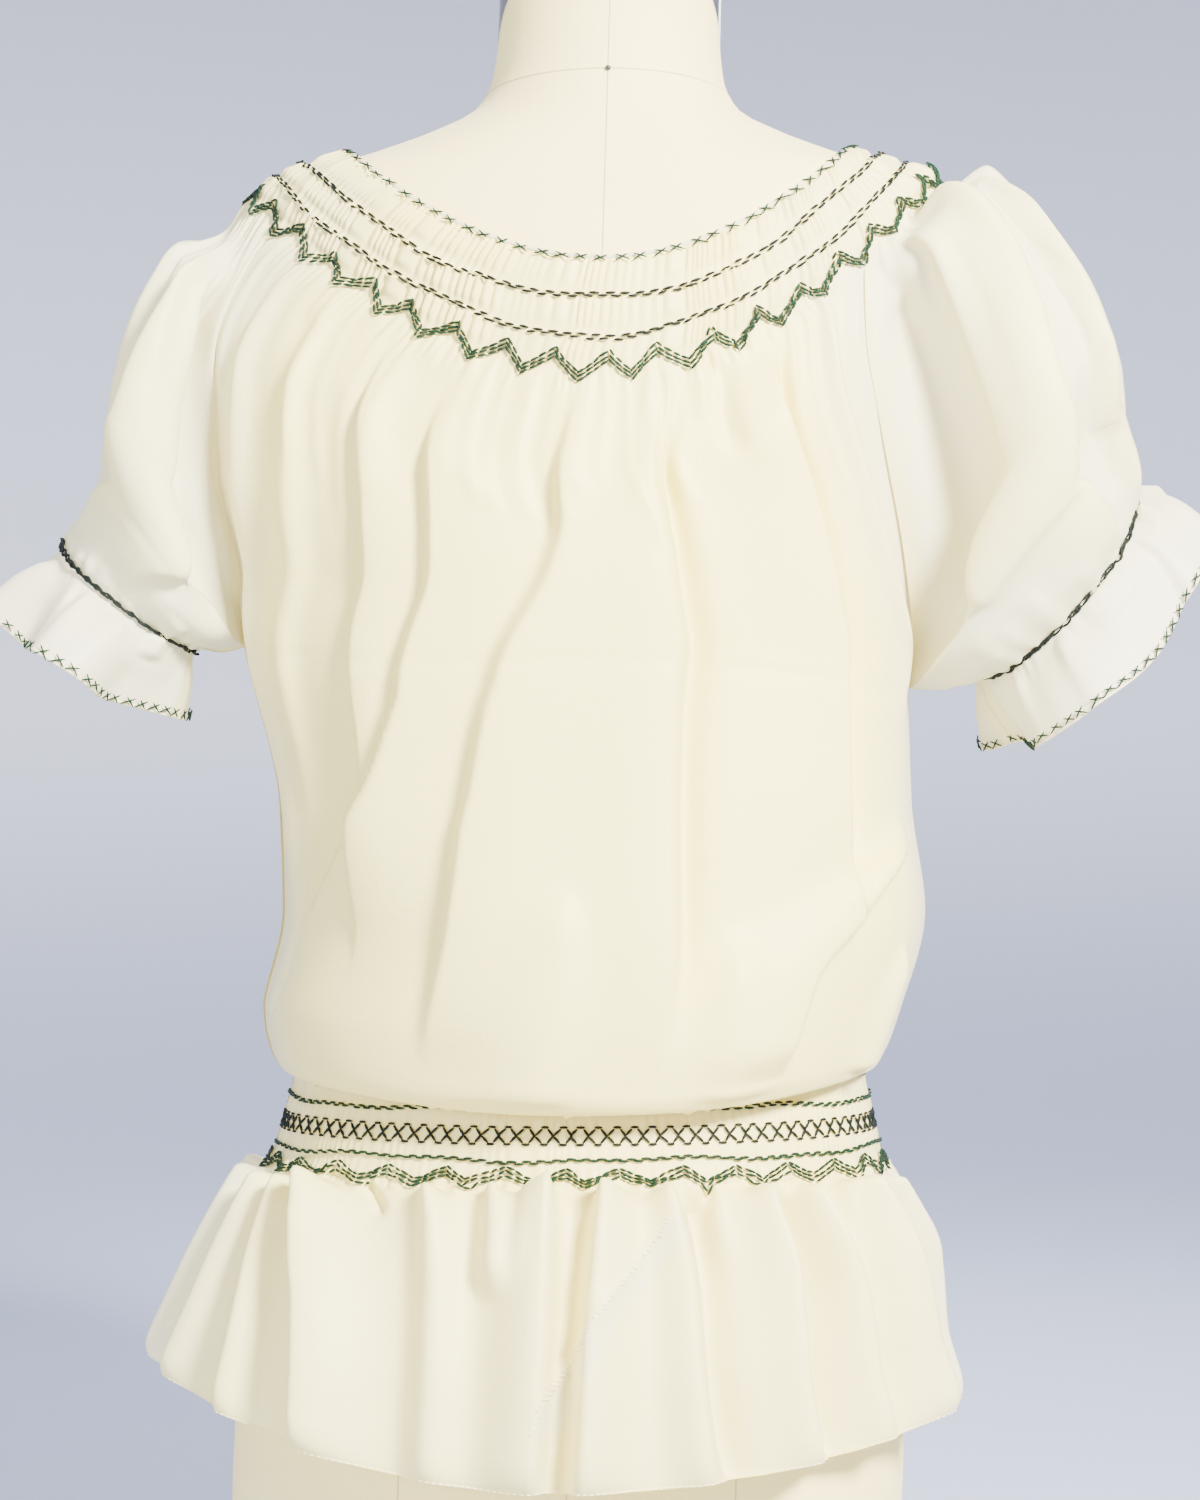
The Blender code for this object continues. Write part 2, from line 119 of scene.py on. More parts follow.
def silk_material():
    made, tree, output = blank_material("silk_crepe_de_chine")
    place = node(tree, "ShaderNodeUVMap", uv_map="cloth").outputs[0]
    layers_and_painted_light = node(tree, "ShaderNodeAttribute", attribute_name="layers_and_painted_light").outputs["Fac"]
    crepe = node(
        tree, "ShaderNodeTexNoise", [("Vector", place), ("Scale", 1 / 0.004), ("Detail", 4)]
    )
    slubs = node(tree, "ShaderNodeMapping", [("Vector", place), ("Scale", (18, 520, 1))])
    slub = node(tree, "ShaderNodeTexNoise", [("Vector", slubs.outputs[0]), ("Scale", 1)])
    yarns = [
        node(tree, "ShaderNodeTexWave", [("Vector", place), ("Scale", 1 / YARN / BANDS),
                                         ("Distortion", 0.6)], bands_direction=axis)
        for axis in ("X", "Y")
    ]
    weave = node(tree, "ShaderNodeMath", [(i, y.outputs["Fac"]) for i, y in enumerate(yarns)])
    below = []
    for height, strength, distance in (
        (weave.outputs[0], 0.25, 0.00006),
        (crepe.outputs["Fac"], 0.35, 0.0004),
        (slub.outputs["Fac"], 0.15, 0.0003),
    ):
        bump = node(tree, "ShaderNodeBump", [("Height", height), ("Strength", strength),
                                             ("Distance", distance), *below])
        below = [("Normal", bump.outputs[0])]
    # The warm colour marks denser layers and also painted light: the form's colour painted in as if
    # seen through the silk, and painted highlights on the sleeves' fold ridges.
    tone = node(tree, "ShaderNodeMix", [(0, layers_and_painted_light), (6, linear(SILK)), (7, linear(SILK_DENSE_AND_PAINTED_LIGHT))],
                data_type="RGBA")
    shader = node(
        tree, "ShaderNodeBsdfPrincipled",
        [("Base Color", tone.outputs[2]), ("Roughness", 0.48), ("IOR", 1.45),
         ("Specular IOR Level", 0.4), ("Sheen Weight", 0.25), ("Sheen Roughness", 0.4), *below],
    )
    through = node(tree, "ShaderNodeBsdfTranslucent", [("Color", tone.outputs[2])])
    share = node(tree, "ShaderNodeMapRange", [("Value", layers_and_painted_light), (3, 0.30), (4, 0.16)])
    mix = node(tree, "ShaderNodeMixShader", [(0, share.outputs[0]), (1, shader.outputs[0]),
                                             (2, through.outputs[0])])
    tree.links.new(mix.outputs[0], output.inputs["Surface"])
    return made


silk = silk_material()
print("silk:", SILK, "yarn drawn", YARN * 1000, "mm wide")

# %% [markdown]
# ## The stations
# A cut piece of cloth is laid through curves called stations, from the neck edge to the hem, in
# the same way as the CAD walls. Here a sheet has about a hundred thousand points, so each
# function takes and gives whole arrays of numbers at once, which is much faster than asking for
# one point at a time. Turns go round the body: 0 is its +X side and a quarter turn its front.

# %% Tables of the form and the blouse, in metres
CLEAR = 0.0022  # from the form to the cloth that lies on it
LEAN = 0.0288  # the form leans this far towards +X for each metre of height
LAP = 0.0021  # the sleeve's edge lies this far out on the body's, near the underarm
LEAVE = 0.8  # how straight the sleeve leaves the body at the raglan seams
NECK_SIDE = 0.728
NECK_ARCH = 0.050
ROW_3, UNDERARM, CUFF, RUFFLE, HEM = 3, 7, 9, 11, 20  # steps: the numbers of stations
SKEW = {"left": 0.12, "right": 0.30}  # how far the back of each sleeve turns along the arm
FRONT_SKEW = 0.4  # and its front, as a part of that

FORM = np.array((
    # height, half, depth behind, depth in front
    (0.000, 0.1555, 0.1080, 0.0980),
    (0.060, 0.1570, 0.1100, 0.1000),
    (0.120, 0.1550, 0.1100, 0.1010),
    (0.180, 0.1460, 0.1030, 0.0990),
    (0.250, 0.1275, 0.0875, 0.0920),
    (0.320, 0.1130, 0.0770, 0.0870),
    (0.390, 0.1190, 0.0830, 0.0970),
    (0.450, 0.1300, 0.0910, 0.1120),
    (0.500, 0.1380, 0.0950, 0.1190),
    (0.550, 0.1470, 0.0970, 0.1100),
    (0.600, 0.1590, 0.0930, 0.0930),
    (0.630, 0.1660, 0.0880, 0.0820),
    (0.648, 0.1660, 0.0820, 0.0730),
    (0.660, 0.1590, 0.0775, 0.0665),
    (0.668, 0.1460, 0.0740, 0.0615),
    (0.676, 0.1170, 0.0700, 0.0565),
    (0.686, 0.0880, 0.0655, 0.0510),
    (0.698, 0.0630, 0.0610, 0.0460),
    (0.712, 0.0545, 0.0575, 0.0430),
    (0.735, 0.0518, 0.0545, 0.0410),
    (0.790, 0.0515, 0.0530, 0.0400),
))
YOKE = np.array((
    # heights at the left, right, back and front
    (0.6755, 0.6775, 0.6185, 0.6080),  # neck edge
    (0.6710, 0.6745, 0.6025, 0.5910),  # first stitched row
    (0.6660, 0.6710, 0.5850, 0.5740),  # second stitched row
    (0.6570, 0.6650, 0.5690, 0.5570),  # zigzag row
))
BODY = np.array((
    # the heights again, then half widths left and right, and depths behind and in front
    (0.5940, 0.6187, 0.5300, 0.5200, 0.1890, 0.1540, 0.1060, 0.1150),
    (0.5340, 0.5406, 0.4970, 0.4900, 0.1820, 0.1500, 0.1090, 0.1240),
    (0.4804, 0.4757, 0.4650, 0.4600, 0.1650, 0.1490, 0.1110, 0.1280),
    (0.4490, 0.4290, 0.4380, 0.4360, 0.1616, 0.1480, 0.1130, 0.1290),  # underarm
    (0.3760, 0.3760, 0.3760, 0.3760, 0.1430, 0.1510, 0.1180, 0.1300),
    (0.3250, 0.3250, 0.3220, 0.3220, 0.1400, 0.1590, 0.1240, 0.1320),
    (0.2800, 0.2820, 0.2720, 0.2720, 0.1480, 0.1500, 0.1280, 0.1350),  # fullest
    (0.2590, 0.2600, 0.2450, 0.2450, 0.1440, 0.1430, 0.1250, 0.1310),
    (0.2515, 0.2525, 0.2380, 0.2380, 0.1390, 0.1385, 0.1170, 0.1220),  # lowest
    (0.2560, 0.2570, 0.2450, 0.2450, 0.1360, 0.1360, 0.1085, 0.1125),  # turned up inside
    (0.2610, 0.2610, 0.2560, 0.2560, 0.1340, 0.1340, 0.1010, 0.1050),
    (0.2540, 0.2540, 0.2510, 0.2510, 0.1315, 0.1315, 0.0945, 0.0985),  # top of the band
    (0.2087, 0.2087, 0.2087, 0.2087, 0.1425, 0.1425, 0.1035, 0.1035),  # foot of the band
    # from here to the hem the sides are drawn narrower than the CAD wall's
    (0.1960, 0.1960, 0.1960, 0.1960, 0.1505, 0.1460, 0.1130, 0.1120),
    (0.1650, 0.1650, 0.1600, 0.1600, 0.1670, 0.1590, 0.1250, 0.1230),
    (0.1400, 0.1320, 0.1180, 0.1180, 0.1780, 0.1620, 0.1360, 0.1330),
    (0.1150, 0.0960, 0.0760, 0.0790, 0.1885, 0.1740, 0.1400, 0.1370),  # hem
))
RAGLAN = np.radians((
    # where the raglan seams cross each station: left back, left front, right back, right front
    (21, 30, 30, 21),
    (22, 33, 33, 22),
    (24, 36, 36, 24),
    (26, 40, 40, 26),
    (22, 38, 38, 22),
    (17, 28, 28, 17),
    (9, 15, 15, 9),
    (0, 0, 0, 0),
))
SLEEVE = {
    # crown x, height, seam x, height, half depth, how far round from the crown in degrees
    "left": np.array((
        (-0.1443, 0.6592, 0.0000, 0.0000, 0.050, 95),
        (-0.1840, 0.6370, 0.0000, 0.0000, 0.060, 110),
        (-0.2050, 0.6030, 0.0000, 0.0000, 0.066, 136),
        (-0.2145, 0.5700, 0.0000, 0.0000, 0.067, 160),
        (-0.2190, 0.5450, 0.0000, 0.0000, 0.064, 180),
        (-0.2230, 0.5230, -0.0102, -0.0020, 0.058, 180),
        (-0.2328, 0.4964, -0.0223, 0.0008, 0.045, 180),
        (-0.2470, 0.4810, -0.0294, -0.0160, 0.053, 180),
        (-0.2610, 0.4630, -0.0364, -0.0307, 0.059, 180),
    )),
    "right": np.array((
        (0.1724, 0.6672, 0.0000, 0.0000, 0.050, 95),
        (0.1980, 0.6740, 0.0000, 0.0000, 0.064, 110),
        (0.2330, 0.6420, 0.0000, 0.0000, 0.072, 136),
        (0.2560, 0.6060, 0.0000, 0.0000, 0.074, 160),
        (0.2660, 0.5750, 0.0000, 0.0000, 0.071, 180),
        (0.2678, 0.5460, 0.0135, 0.0000, 0.064, 180),
        (0.2635, 0.5213, 0.0305, 0.0067, 0.046, 180),
        (0.2790, 0.5170, 0.0360, -0.0110, 0.055, 180),
        (0.2940, 0.5000, 0.0437, -0.0276, 0.062, 180),
    )),
}
print("stations:", len(YOKE) + len(BODY), "on the body,", len(SLEEVE["left"]), "on a sleeve")

# %% [markdown]
# ## From numbers to places
# Between two stations a smooth curve is followed that never overshoots, so the cloth doesn't
# pass through itself at the tight turn above the waist band.


# %% Curves through the stations
def smooth_step(x):
    """0 below 0, 1 above 1, with a soft rise between."""
    x = np.clip(x, 0.0, 1.0)
    return x * x * (3 - 2 * x)


def slope(before, after):
    """The slope where two stretches meet: level at a peak or a dip."""
    same = before * after > 0
    return np.where(same, 2 * before * after / np.where(same, before + after, 1), 0)


def between(before, start, end, after, x):
    """The numbers at x, from 0 to 1, on a smooth curve from start to end."""
    rise = end - start
    leave, arrive = slope(start - before, rise), slope(rise, after - end)
    return start + rise * smooth_step(x) + x * (leave * (1 - x) - arrive * x) * (1 - x)


def at_step(table, step):
    """The numbers of a table's rows at steps that may fall between two of them."""
    last = len(table) - 1
    i = np.clip(step.astype(int), 0, last - 1)
    rows = [table[np.clip(i + k, 0, last)] for k in (-1, 0, 1, 2)]
    return between(*rows, (step - i)[:, None]).T


def form_at(height):
    """The form's half width, back depth and front depth at heights."""
    last = len(FORM) - 2
    i = np.clip(np.searchsorted(FORM[:, 0], height, side="right") - 1, 0, last)
    x = np.clip((height - FORM[i, 0]) / (FORM[i + 1, 0] - FORM[i, 0]), 0, 1)
    rows = [FORM[np.clip(i + k, 0, last + 1), 1:] for k in (-1, 0, 1, 2)]
    return between(*rows, x[:, None]).T


def form_radius(turn, height):
    """How far the form's surface is from its middle line."""
    half, back, front = form_at(height)
    depth = np.where(np.sin(turn) > 0, front, back)
    return 1 / np.hypot(np.cos(turn) / half, np.sin(turn) / depth)


def middle(height):
    """The form's middle line."""
    return np.stack([LEAN * height, 0 * height, height], axis=1)


def round_out(turn, wide, deep):
    """Level steps from the middle line, as wide and deep as an ellipse."""
    return np.stack([wide * np.cos(turn), deep * np.sin(turn), 0 * turn], axis=1)


def blend(turn, left, right, back, front):
    """A height that runs from the sides to the middle of the back or front."""
    side = np.where(np.cos(turn) > 0, right, left)
    end = np.where(np.sin(turn) > 0, front, back)
    return end + (side - end) * np.cos(turn) ** 2


def yoke_ring(rows, turn):
    """Points of the smocked rows, which lie on the form."""
    height = blend(turn, *rows.T)
    half = form_at(np.where(np.cos(turn) > 0, rows[:, 1], rows[:, 0]))[0]
    across = half * np.cos(turn)
    wide, back, front = form_at(height)
    deep = np.sqrt(np.maximum(0, 1 - (across / wide) ** 2))
    deep *= np.where(np.sin(turn) > 0, front, -back)
    out = np.stack([np.cos(turn), np.sin(turn), np.ones_like(turn)], axis=1) * CLEAR
    return middle(height) + np.stack([across, deep, 0 * turn], axis=1) + out


def body_ring(rows, turn):
    """Points of the stations below the yoke."""
    left, right, back, front = rows[:, 4:].T
    wide = np.where(np.cos(turn) > 0, right, left)
    deep = np.where(np.sin(turn) > 0, front, back)
    return middle(blend(turn, *rows[:, :4].T)) + round_out(turn, wide, deep)


def station(i, turn):
    """Points of any of the body's stations."""
    i = np.clip(i, 0, HEM)
    on_yoke = yoke_ring(YOKE[np.minimum(i, ROW_3)], turn)
    below = body_ring(BODY[np.clip(i - ROW_3 - 1, 0, None)], turn)
    return np.where((i <= ROW_3)[:, None], on_yoke, below)


def ring_point(turn, step):
    """Points of the tube that the stations make."""
    i = np.clip(step.astype(int), 0, HEM - 1)
    return between(*(station(i + k, turn) for k in (-1, 0, 1, 2)), (step - i)[:, None])


def off_the_form(points):
    """Moves points out where they would come too near the form."""
    height = points[:, 2]
    arm = points - middle(height)
    reach = np.hypot(arm[:, 0], arm[:, 1])
    least = form_radius(np.arctan2(arm[:, 1], arm[:, 0]), height) + CLEAR
    grow = np.where((reach < least) & (height < FORM[-1, 0]), least / np.maximum(reach, 1e-6), 1)
    return middle(height) + arm * grow[:, None]


def raglan_turn(face, side, step):
    """Where a raglan seam crosses steps: at the side itself from the underarm down."""
    column = (0 if side == "left" else 2) + (face == "front")
    off = at_step(RAGLAN, np.minimum(step, UNDERARM))[column]
    turn = off if side == "right" else math.pi - off
    return turn if face == "front" else -turn


turns = np.radians(np.arange(0, 360, 5.0))
waist = ring_point(turns, np.full(len(turns), 15.0))
print("waist band, round its top:", round(float(np.linalg.norm(
    np.diff(waist, axis=0, append=waist[:1]), axis=1).sum()), 3), "m")

# %% [markdown]
# ## Places on the four cut pieces
# Across runs from 0 at a piece's left seam to 1 at its right one. The back and front wrap the
# stations between the raglan seams. A sleeve starts on the yoke with them, then leaves the ring
# and swells into its own puffed tube, whose edges meet along its underside.


# %% Body and sleeve surfaces
def body_turn(face, across, step):
    """The turn of places on the back or front."""
    left, right = (raglan_turn(face, side, step) for side in ("left", "right"))
    return left + (right - left) * across


def body_place(face, across, step, tuck=0.0):
    """Places on the back or front. Tuck widens it under the sleeves, where seams lie double."""
    wider = 1 + tuck * smooth_step((step - ROW_3) / 0.5) * (1 - smooth_step(step - 6))
    spread = 0.5 + (across - 0.5) * wider
    return off_the_form(ring_point(body_turn(face, spread, step), step))


def sleeve_seams(side, step):
    """The two edges of a sleeve: on the body down to the underarm, then its own underside."""
    ends = []
    down = np.minimum(step, UNDERARM)
    for face in ("back", "front"):
        turn = raglan_turn(face, side, down)
        lap = LAP * smooth_step((down - ROW_3 - 1) / 2)
        place = body_place(face, np.full(len(step), float(side == "right")), down)
        ends.append(place + round_out(turn, lap, lap))
    return ends


def sleeve_turn(side, across, step):
    """The turn of places on a sleeve."""
    down = np.minimum(step, UNDERARM)
    back, front = (raglan_turn(face, side, down) for face in ("back", "front"))
    if side == "left":
        back = back + math.tau
    return back + (front - back) * across


def sleeve_place(side, across, step):
    crown_x, crown_z, seam_x, seam_z, deep, open_angle = at_step(SLEEVE[side], step - ROW_3)
    level = 0 * step
    moved = np.stack([seam_x, level, seam_z], axis=1)
    ends = [end + moved for end in sleeve_seams(side, step)]
    crown = np.stack([crown_x, level, crown_z], axis=1)
    seam = ends[0] + (ends[1] - ends[0]) * across[:, None]
    seam[:, 1] = 0
    reach = np.radians(open_angle)
    angle = reach * (2 * across - 1)
    shut = np.cos(reach)
    centre = (seam - crown * shut[:, None]) / (1 - shut)[:, None]
    arch = shut + (1 - shut) * (1 - (2 * across - 1) ** 2)
    straight = LEAVE * smooth_step(UNDERARM - step)
    rise = np.cos(angle) * (1 - straight) + arch * straight
    point = centre + (crown - centre) * rise[:, None]
    point[:, 1] = deep * np.sin(angle)
    point[:, 1] += (ends[0][:, 1] + deep * np.sin(reach)) * (1 - smooth_step(2.5 * across))
    point[:, 1] += (ends[1][:, 1] - deep * np.sin(reach)) * smooth_step(2.5 * across - 1.5)
    arm = np.cross(crown - seam, (0, 1 if side == "left" else -1, 0))
    arm /= np.linalg.norm(arm, axis=1)[:, None]
    share = np.where(point[:, 1] < 0, SKEW[side], SKEW[side] * FRONT_SKEW)
    push = -point[:, 1] * share * smooth_step((step - UNDERARM) / 2)
    point += arm * push[:, None]
    on_ring = ring_point(sleeve_turn(side, across, step), np.minimum(step, HEM))
    leave = smooth_step(step - ROW_3)[:, None]
    return off_the_form(on_ring * (1 - leave) + point * leave)

# %% [markdown]
# ## Folds
# A fold is a line on the cloth with a soft ridge or trough along it. Each is listed: its
# path as steps and places across, how quickly it falls away to its left and right, and how far
# it stands out. A steep side makes the sharp edge of a real fold. No two are alike, and the
# hidden front has its own.


# %% Fold tables
BACK_FOLDS = (
    # path as (step, across), fall to the left, to the right, height
    (((3.2, 0.295), (5.0, 0.300), (7.0, 0.275), (9.6, 0.245)), 0.007, 0.060, 0.0055),
    (((3.2, 0.535), (4.6, 0.518), (7.2, 0.425), (8.2, 0.385), (10.6, 0.350)), 0.012, 0.120, 0.0080),
    (((3.5, 0.385), (5.1, 0.378), (7.3, 0.330), (8.0, 0.270), (8.8, 0.185), (9.6, 0.085)),
     0.009, 0.120, 0.0070),
    (((3.2, 0.642), (5.0, 0.615), (7.5, 0.575), (10.8, 0.575)), 0.070, 0.010, 0.0070),
    (((3.2, 0.800), (4.3, 0.812), (5.3, 0.803), (7.1, 0.765), (9.4, 0.770)), 0.110, 0.008, 0.0085),
    (((8.1, 0.900), (8.9, 0.790), (9.5, 0.722), (10.8, 0.705)), 0.080, 0.010, 0.0065),
    (((3.3, 0.662), (5.0, 0.634), (7.5, 0.595), (10.2, 0.592)), 0.005, 0.020, -0.0065),
    (((3.2, 0.814), (4.3, 0.826), (5.3, 0.817), (7.1, 0.779), (9.3, 0.783)), 0.005, 0.020, -0.0075),
    (((3.1, 0.722), (4.4, 0.742)), 0.012, 0.014, -0.0026),
    (((3.1, 0.200), (5.5, 0.190), (8.5, 0.150)), 0.030, 0.020, 0.0040),
    (((3.1, 0.100), (6.0, 0.090), (9.5, 0.110)), 0.022, 0.030, 0.0040),
    (((3.1, 0.900), (5.0, 0.905), (7.5, 0.930)), 0.020, 0.014, 0.0045),
    (((8.6, 0.140), (9.4, 0.104), (10.2, 0.075)), 0.012, 0.012, -0.0035),
    (((8.6, 0.480), (10.0, 0.470), (11.4, 0.455)), 0.060, 0.030, 0.0040),
    (((9.0, 0.640), (10.2, 0.650), (11.5, 0.655)), 0.030, 0.050, 0.0035),
    (((9.2, 0.880), (10.2, 0.870), (11.4, 0.860)), 0.030, 0.020, 0.0040),
)
BACK_PEPLUM = (
    (((16.2, 0.115), (18.0, 0.120), (20.6, 0.105)), 0.014, 0.030, 0.0070),
    (((16.2, 0.160), (18.4, 0.192), (20.6, 0.205)), 0.012, 0.026, 0.0070),
    (((16.1, 0.205), (18.6, 0.275), (20.6, 0.300)), 0.008, 0.045, 0.0110),
    (((16.1, 0.278), (17.3, 0.304)), 0.010, 0.008, -0.0025),
    (((16.1, 0.352), (18.1, 0.388), (20.6, 0.400)), 0.020, 0.022, 0.0065),
    (((16.2, 0.420), (18.2, 0.434)), 0.012, 0.014, 0.0050),
    (((16.1, 0.476), (18.4, 0.479), (20.6, 0.474)), 0.045, 0.007, 0.0115),
    (((16.1, 0.526), (18.4, 0.514), (20.6, 0.508)), 0.007, 0.040, 0.0095),
    (((16.1, 0.588), (18.3, 0.602), (20.6, 0.615)), 0.026, 0.012, 0.0070),
    (((16.2, 0.636), (17.9, 0.630)), 0.010, 0.008, -0.0025),
    (((16.2, 0.615), (18.3, 0.625), (20.6, 0.640)), 0.006, 0.022, -0.0050),
    (((16.2, 0.690), (18.7, 0.706), (20.6, 0.712)), 0.028, 0.009, 0.0075),
    (((16.4, 0.722), (18.7, 0.736), (20.6, 0.742)), 0.006, 0.020, -0.0050),
    (((16.2, 0.750), (19.0, 0.792), (20.6, 0.800)), 0.020, 0.016, 0.0060),
    (((16.2, 0.820), (18.5, 0.862), (20.6, 0.890)), 0.040, 0.008, 0.0110),
    (((16.2, 0.905), (18.5, 0.940), (20.6, 0.955)), 0.018, 0.018, 0.0070),
    (((16.1, 0.060), (18.5, 0.050), (20.6, 0.035)), 0.018, 0.020, 0.0070),
)
FRONT_FOLDS = (
    (((3.2, 0.120), (6.0, 0.110), (10.0, 0.120)), 0.030, 0.014, 0.0050),
    (((3.2, 0.260), (5.5, 0.245), (8.6, 0.200), (10.8, 0.190)), 0.012, 0.045, 0.0070),
    (((3.2, 0.420), (5.0, 0.410), (8.0, 0.360), (11.2, 0.330)), 0.040, 0.012, 0.0075),
    (((3.2, 0.540), (6.5, 0.545), (11.2, 0.560)), 0.050, 0.040, 0.0060),
    (((3.2, 0.660), (5.5, 0.690), (8.5, 0.740), (10.9, 0.760)), 0.013, 0.050, 0.0080),
    (((3.2, 0.820), (6.0, 0.840), (9.5, 0.870)), 0.035, 0.012, 0.0060),
    (((8.4, 0.640), (9.8, 0.650), (11.3, 0.640)), 0.030, 0.030, 0.0040),
)
FRONT_PEPLUM = (
    (((16.1, 0.060), (18.5, 0.050), (20.6, 0.040)), 0.020, 0.020, 0.0070),
    (((16.1, 0.140), (18.5, 0.130), (20.6, 0.115)), 0.010, 0.034, 0.0080),
    (((16.1, 0.225), (18.5, 0.215), (20.6, 0.200)), 0.026, 0.012, 0.0070),
    (((16.1, 0.310), (18.4, 0.300), (20.6, 0.290)), 0.010, 0.040, 0.0100),
    (((16.1, 0.395), (18.4, 0.390)), 0.014, 0.012, 0.0050),
    (((16.1, 0.460), (18.5, 0.455), (20.6, 0.450)), 0.040, 0.009, 0.0095),
    (((16.1, 0.545), (18.5, 0.550), (20.6, 0.560)), 0.012, 0.030, 0.0070),
    (((16.1, 0.630), (18.4, 0.640), (20.6, 0.655)), 0.034, 0.010, 0.0090),
    (((16.1, 0.715), (18.5, 0.730), (20.6, 0.745)), 0.012, 0.028, 0.0075),
    (((16.1, 0.800), (18.5, 0.825), (20.6, 0.840)), 0.030, 0.012, 0.0085),
    (((16.1, 0.890), (18.5, 0.915), (20.6, 0.930)), 0.014, 0.022, 0.0070),
)
SLEEVE_FOLDS = {
    "left": (
        (((3.4, 0.135), (4.7, 0.112), (6.1, 0.160), (8.7, 0.250)), 0.012, 0.110, 0.0060),
        (((3.4, 0.070), (4.7, 0.062), (6.1, 0.085), (7.9, 0.128)), 0.038, 0.055, -0.0090),
        (((3.3, 0.200), (4.7, 0.237), (6.5, 0.315), (8.9, 0.430)), 0.070, 0.012, 0.0075),
        (((3.3, 0.330), (5.5, 0.380), (8.6, 0.520)), 0.040, 0.020, 0.0050),
        (((3.3, 0.520), (6.0, 0.560), (8.8, 0.640)), 0.016, 0.050, 0.0060),
        (((3.3, 0.700), (6.0, 0.720), (8.8, 0.780)), 0.050, 0.016, 0.0060),
        (((3.4, 0.860), (6.0, 0.870), (8.6, 0.900)), 0.030, 0.040, -0.0080),
    ),
    "right": (
        (((3.4, 0.130), (4.6, 0.129), (6.0, 0.135), (7.6, 0.190)), 0.012, 0.090, 0.0085),
        (((3.5, 0.060), (4.7, 0.064), (6.4, 0.078), (7.3, 0.095)), 0.035, 0.045, -0.0120),
        (((3.2, 0.235), (4.6, 0.240), (5.9, 0.225), (7.3, 0.305), (8.9, 0.320)), 0.070, 0.006, 0.0110),
        (((3.8, 0.330), (5.9, 0.320), (7.3, 0.372), (8.9, 0.380)), 0.006, 0.050, 0.0095),
        (((3.2, 0.460), (5.5, 0.470), (8.8, 0.500)), 0.030, 0.030, 0.0050),
        (((3.3, 0.600), (6.0, 0.620), (8.8, 0.650)), 0.016, 0.050, 0.0060),
        (((3.3, 0.740), (6.0, 0.760), (8.8, 0.800)), 0.050, 0.016, 0.0060),
        (((3.4, 0.880), (6.0, 0.890), (8.6, 0.910)), 0.030, 0.040, -0.0080),
    ),
}


def on_path(steps, places, step):
    """Where a fold's path is at steps: smooth, and never past its own points."""
    last = len(steps) - 1
    i = np.clip(np.searchsorted(steps, step, side="right") - 1, 0, last - 1)
    x = np.clip((step - steps[i]) / (steps[i + 1] - steps[i]), 0, 1)
    return between(*(places[np.clip(i + k, 0, last)] for k in (-1, 0, 1, 2)), x)


def raised(folds, across, step, scale=1.0):
    """How far the folds lift the cloth at places on it."""
    high = np.zeros(len(step))
    for path, to_left, to_right, height in folds:
        steps, places = np.array(path).T
        along = (step - steps[0]) / (steps[-1] - steps[0])
        near = (along > 0) & (along < 1)
        gap = across[near] - on_path(steps, places, step[near])
        grown = 0.45 + 0.55 * smooth_step(2.5 * along[near])
        wide = np.where(gap < 0, to_left, to_right) * grown
        fade = smooth_step(6 * along[near]) * smooth_step(4 * (1 - along[near]))
        high[near] += scale * height * np.exp(-((gap / wide) ** 2)) * fade
    return high


print("folds:", len(BACK_FOLDS) + len(BACK_PEPLUM), "behind,", len(FRONT_FOLDS + FRONT_PEPLUM),
      "in front")

# %% [markdown]
# ## Gathers
# Smocking draws a wide piece of silk up on rows of thread, into small pleats about 4 mm apart.
# They are tightest under each row of stitches, puff up between the rows, and open out below the
# last one. The pleats are a wave across the cloth whose pitch and height wander, so that they
# don't look like a comb, and the ones that run on below the rows are folds with short paths.


# %% Gathers
def wander(across, count, seed):
    """A soft random number from 0 to 1 along the cloth, with count changes of direction."""
    rolls = np.random.default_rng(seed).random(count + 2)
    spot = np.clip(across, 0, 1) * count
    i = spot.astype(int)
    return rolls[i] + (rolls[i + 1] - rolls[i]) * smooth_step(spot - i)


def pleats(across, count, seed):
    """Rounded pleats with sharp valleys between, from 0 to 1, uneven in width and height."""
    phase = count * across + 2.2 * wander(across, count // 3, seed)
    uneven = 0.15 + 1.2 * wander(across, int(count * 0.7), seed + 1)
    return np.abs(np.sin(math.pi * phase)) * uneven


def loose_pleats(count, first, reach, seed):
    """Folds that start at a row and run out unevenly below it."""
    roll = np.random.default_rng(seed)
    folds = []
    for i in range(count):
        place = (i + roll.uniform(0.15, 0.85)) / count
        end = first + reach * roll.uniform(0.25, 1.0) ** 1.6
        drift = roll.uniform(-0.012, 0.012)
        wide = 0.35 / count * roll.uniform(0.5, 1.5)
        lean = roll.uniform(0.5, 1.5)
        path = ((first, place), (end, place + drift))
        folds.append((path, wide * lean, wide / lean, roll.uniform(0.0006, 0.0024)))
    return tuple(folds)


def soft_waves(across, step, seed):
    """The slight unevenness of silk that has been folded away and worn."""
    roll = np.random.default_rng(seed)
    high = np.zeros(len(step))
    for _ in range(14):
        a, s, start = roll.uniform(-26, 26), roll.uniform(0.1, 0.9), roll.uniform(0, math.tau)
        high += np.sin(a * across + s * step + start)
    return high / 14


BACK_PLEATS, FRONT_PLEATS, SLEEVE_PLEATS = 66, 60, 30  # across the yoke
print("pleats across the back's yoke:", BACK_PLEATS)

# %% [markdown]
# ## A sheet of cloth
# bmesh.ops.create_grid makes the flat piece, and its rows and columns are then carried to their
# places on the body. The smocked parts need twice the columns, so there the edges that run across
# are cut in two with subdivide_edges, which keeps the sheet whole where the two kinds meet. The
# grid of final points is kept, because the stitches are laid on it later.


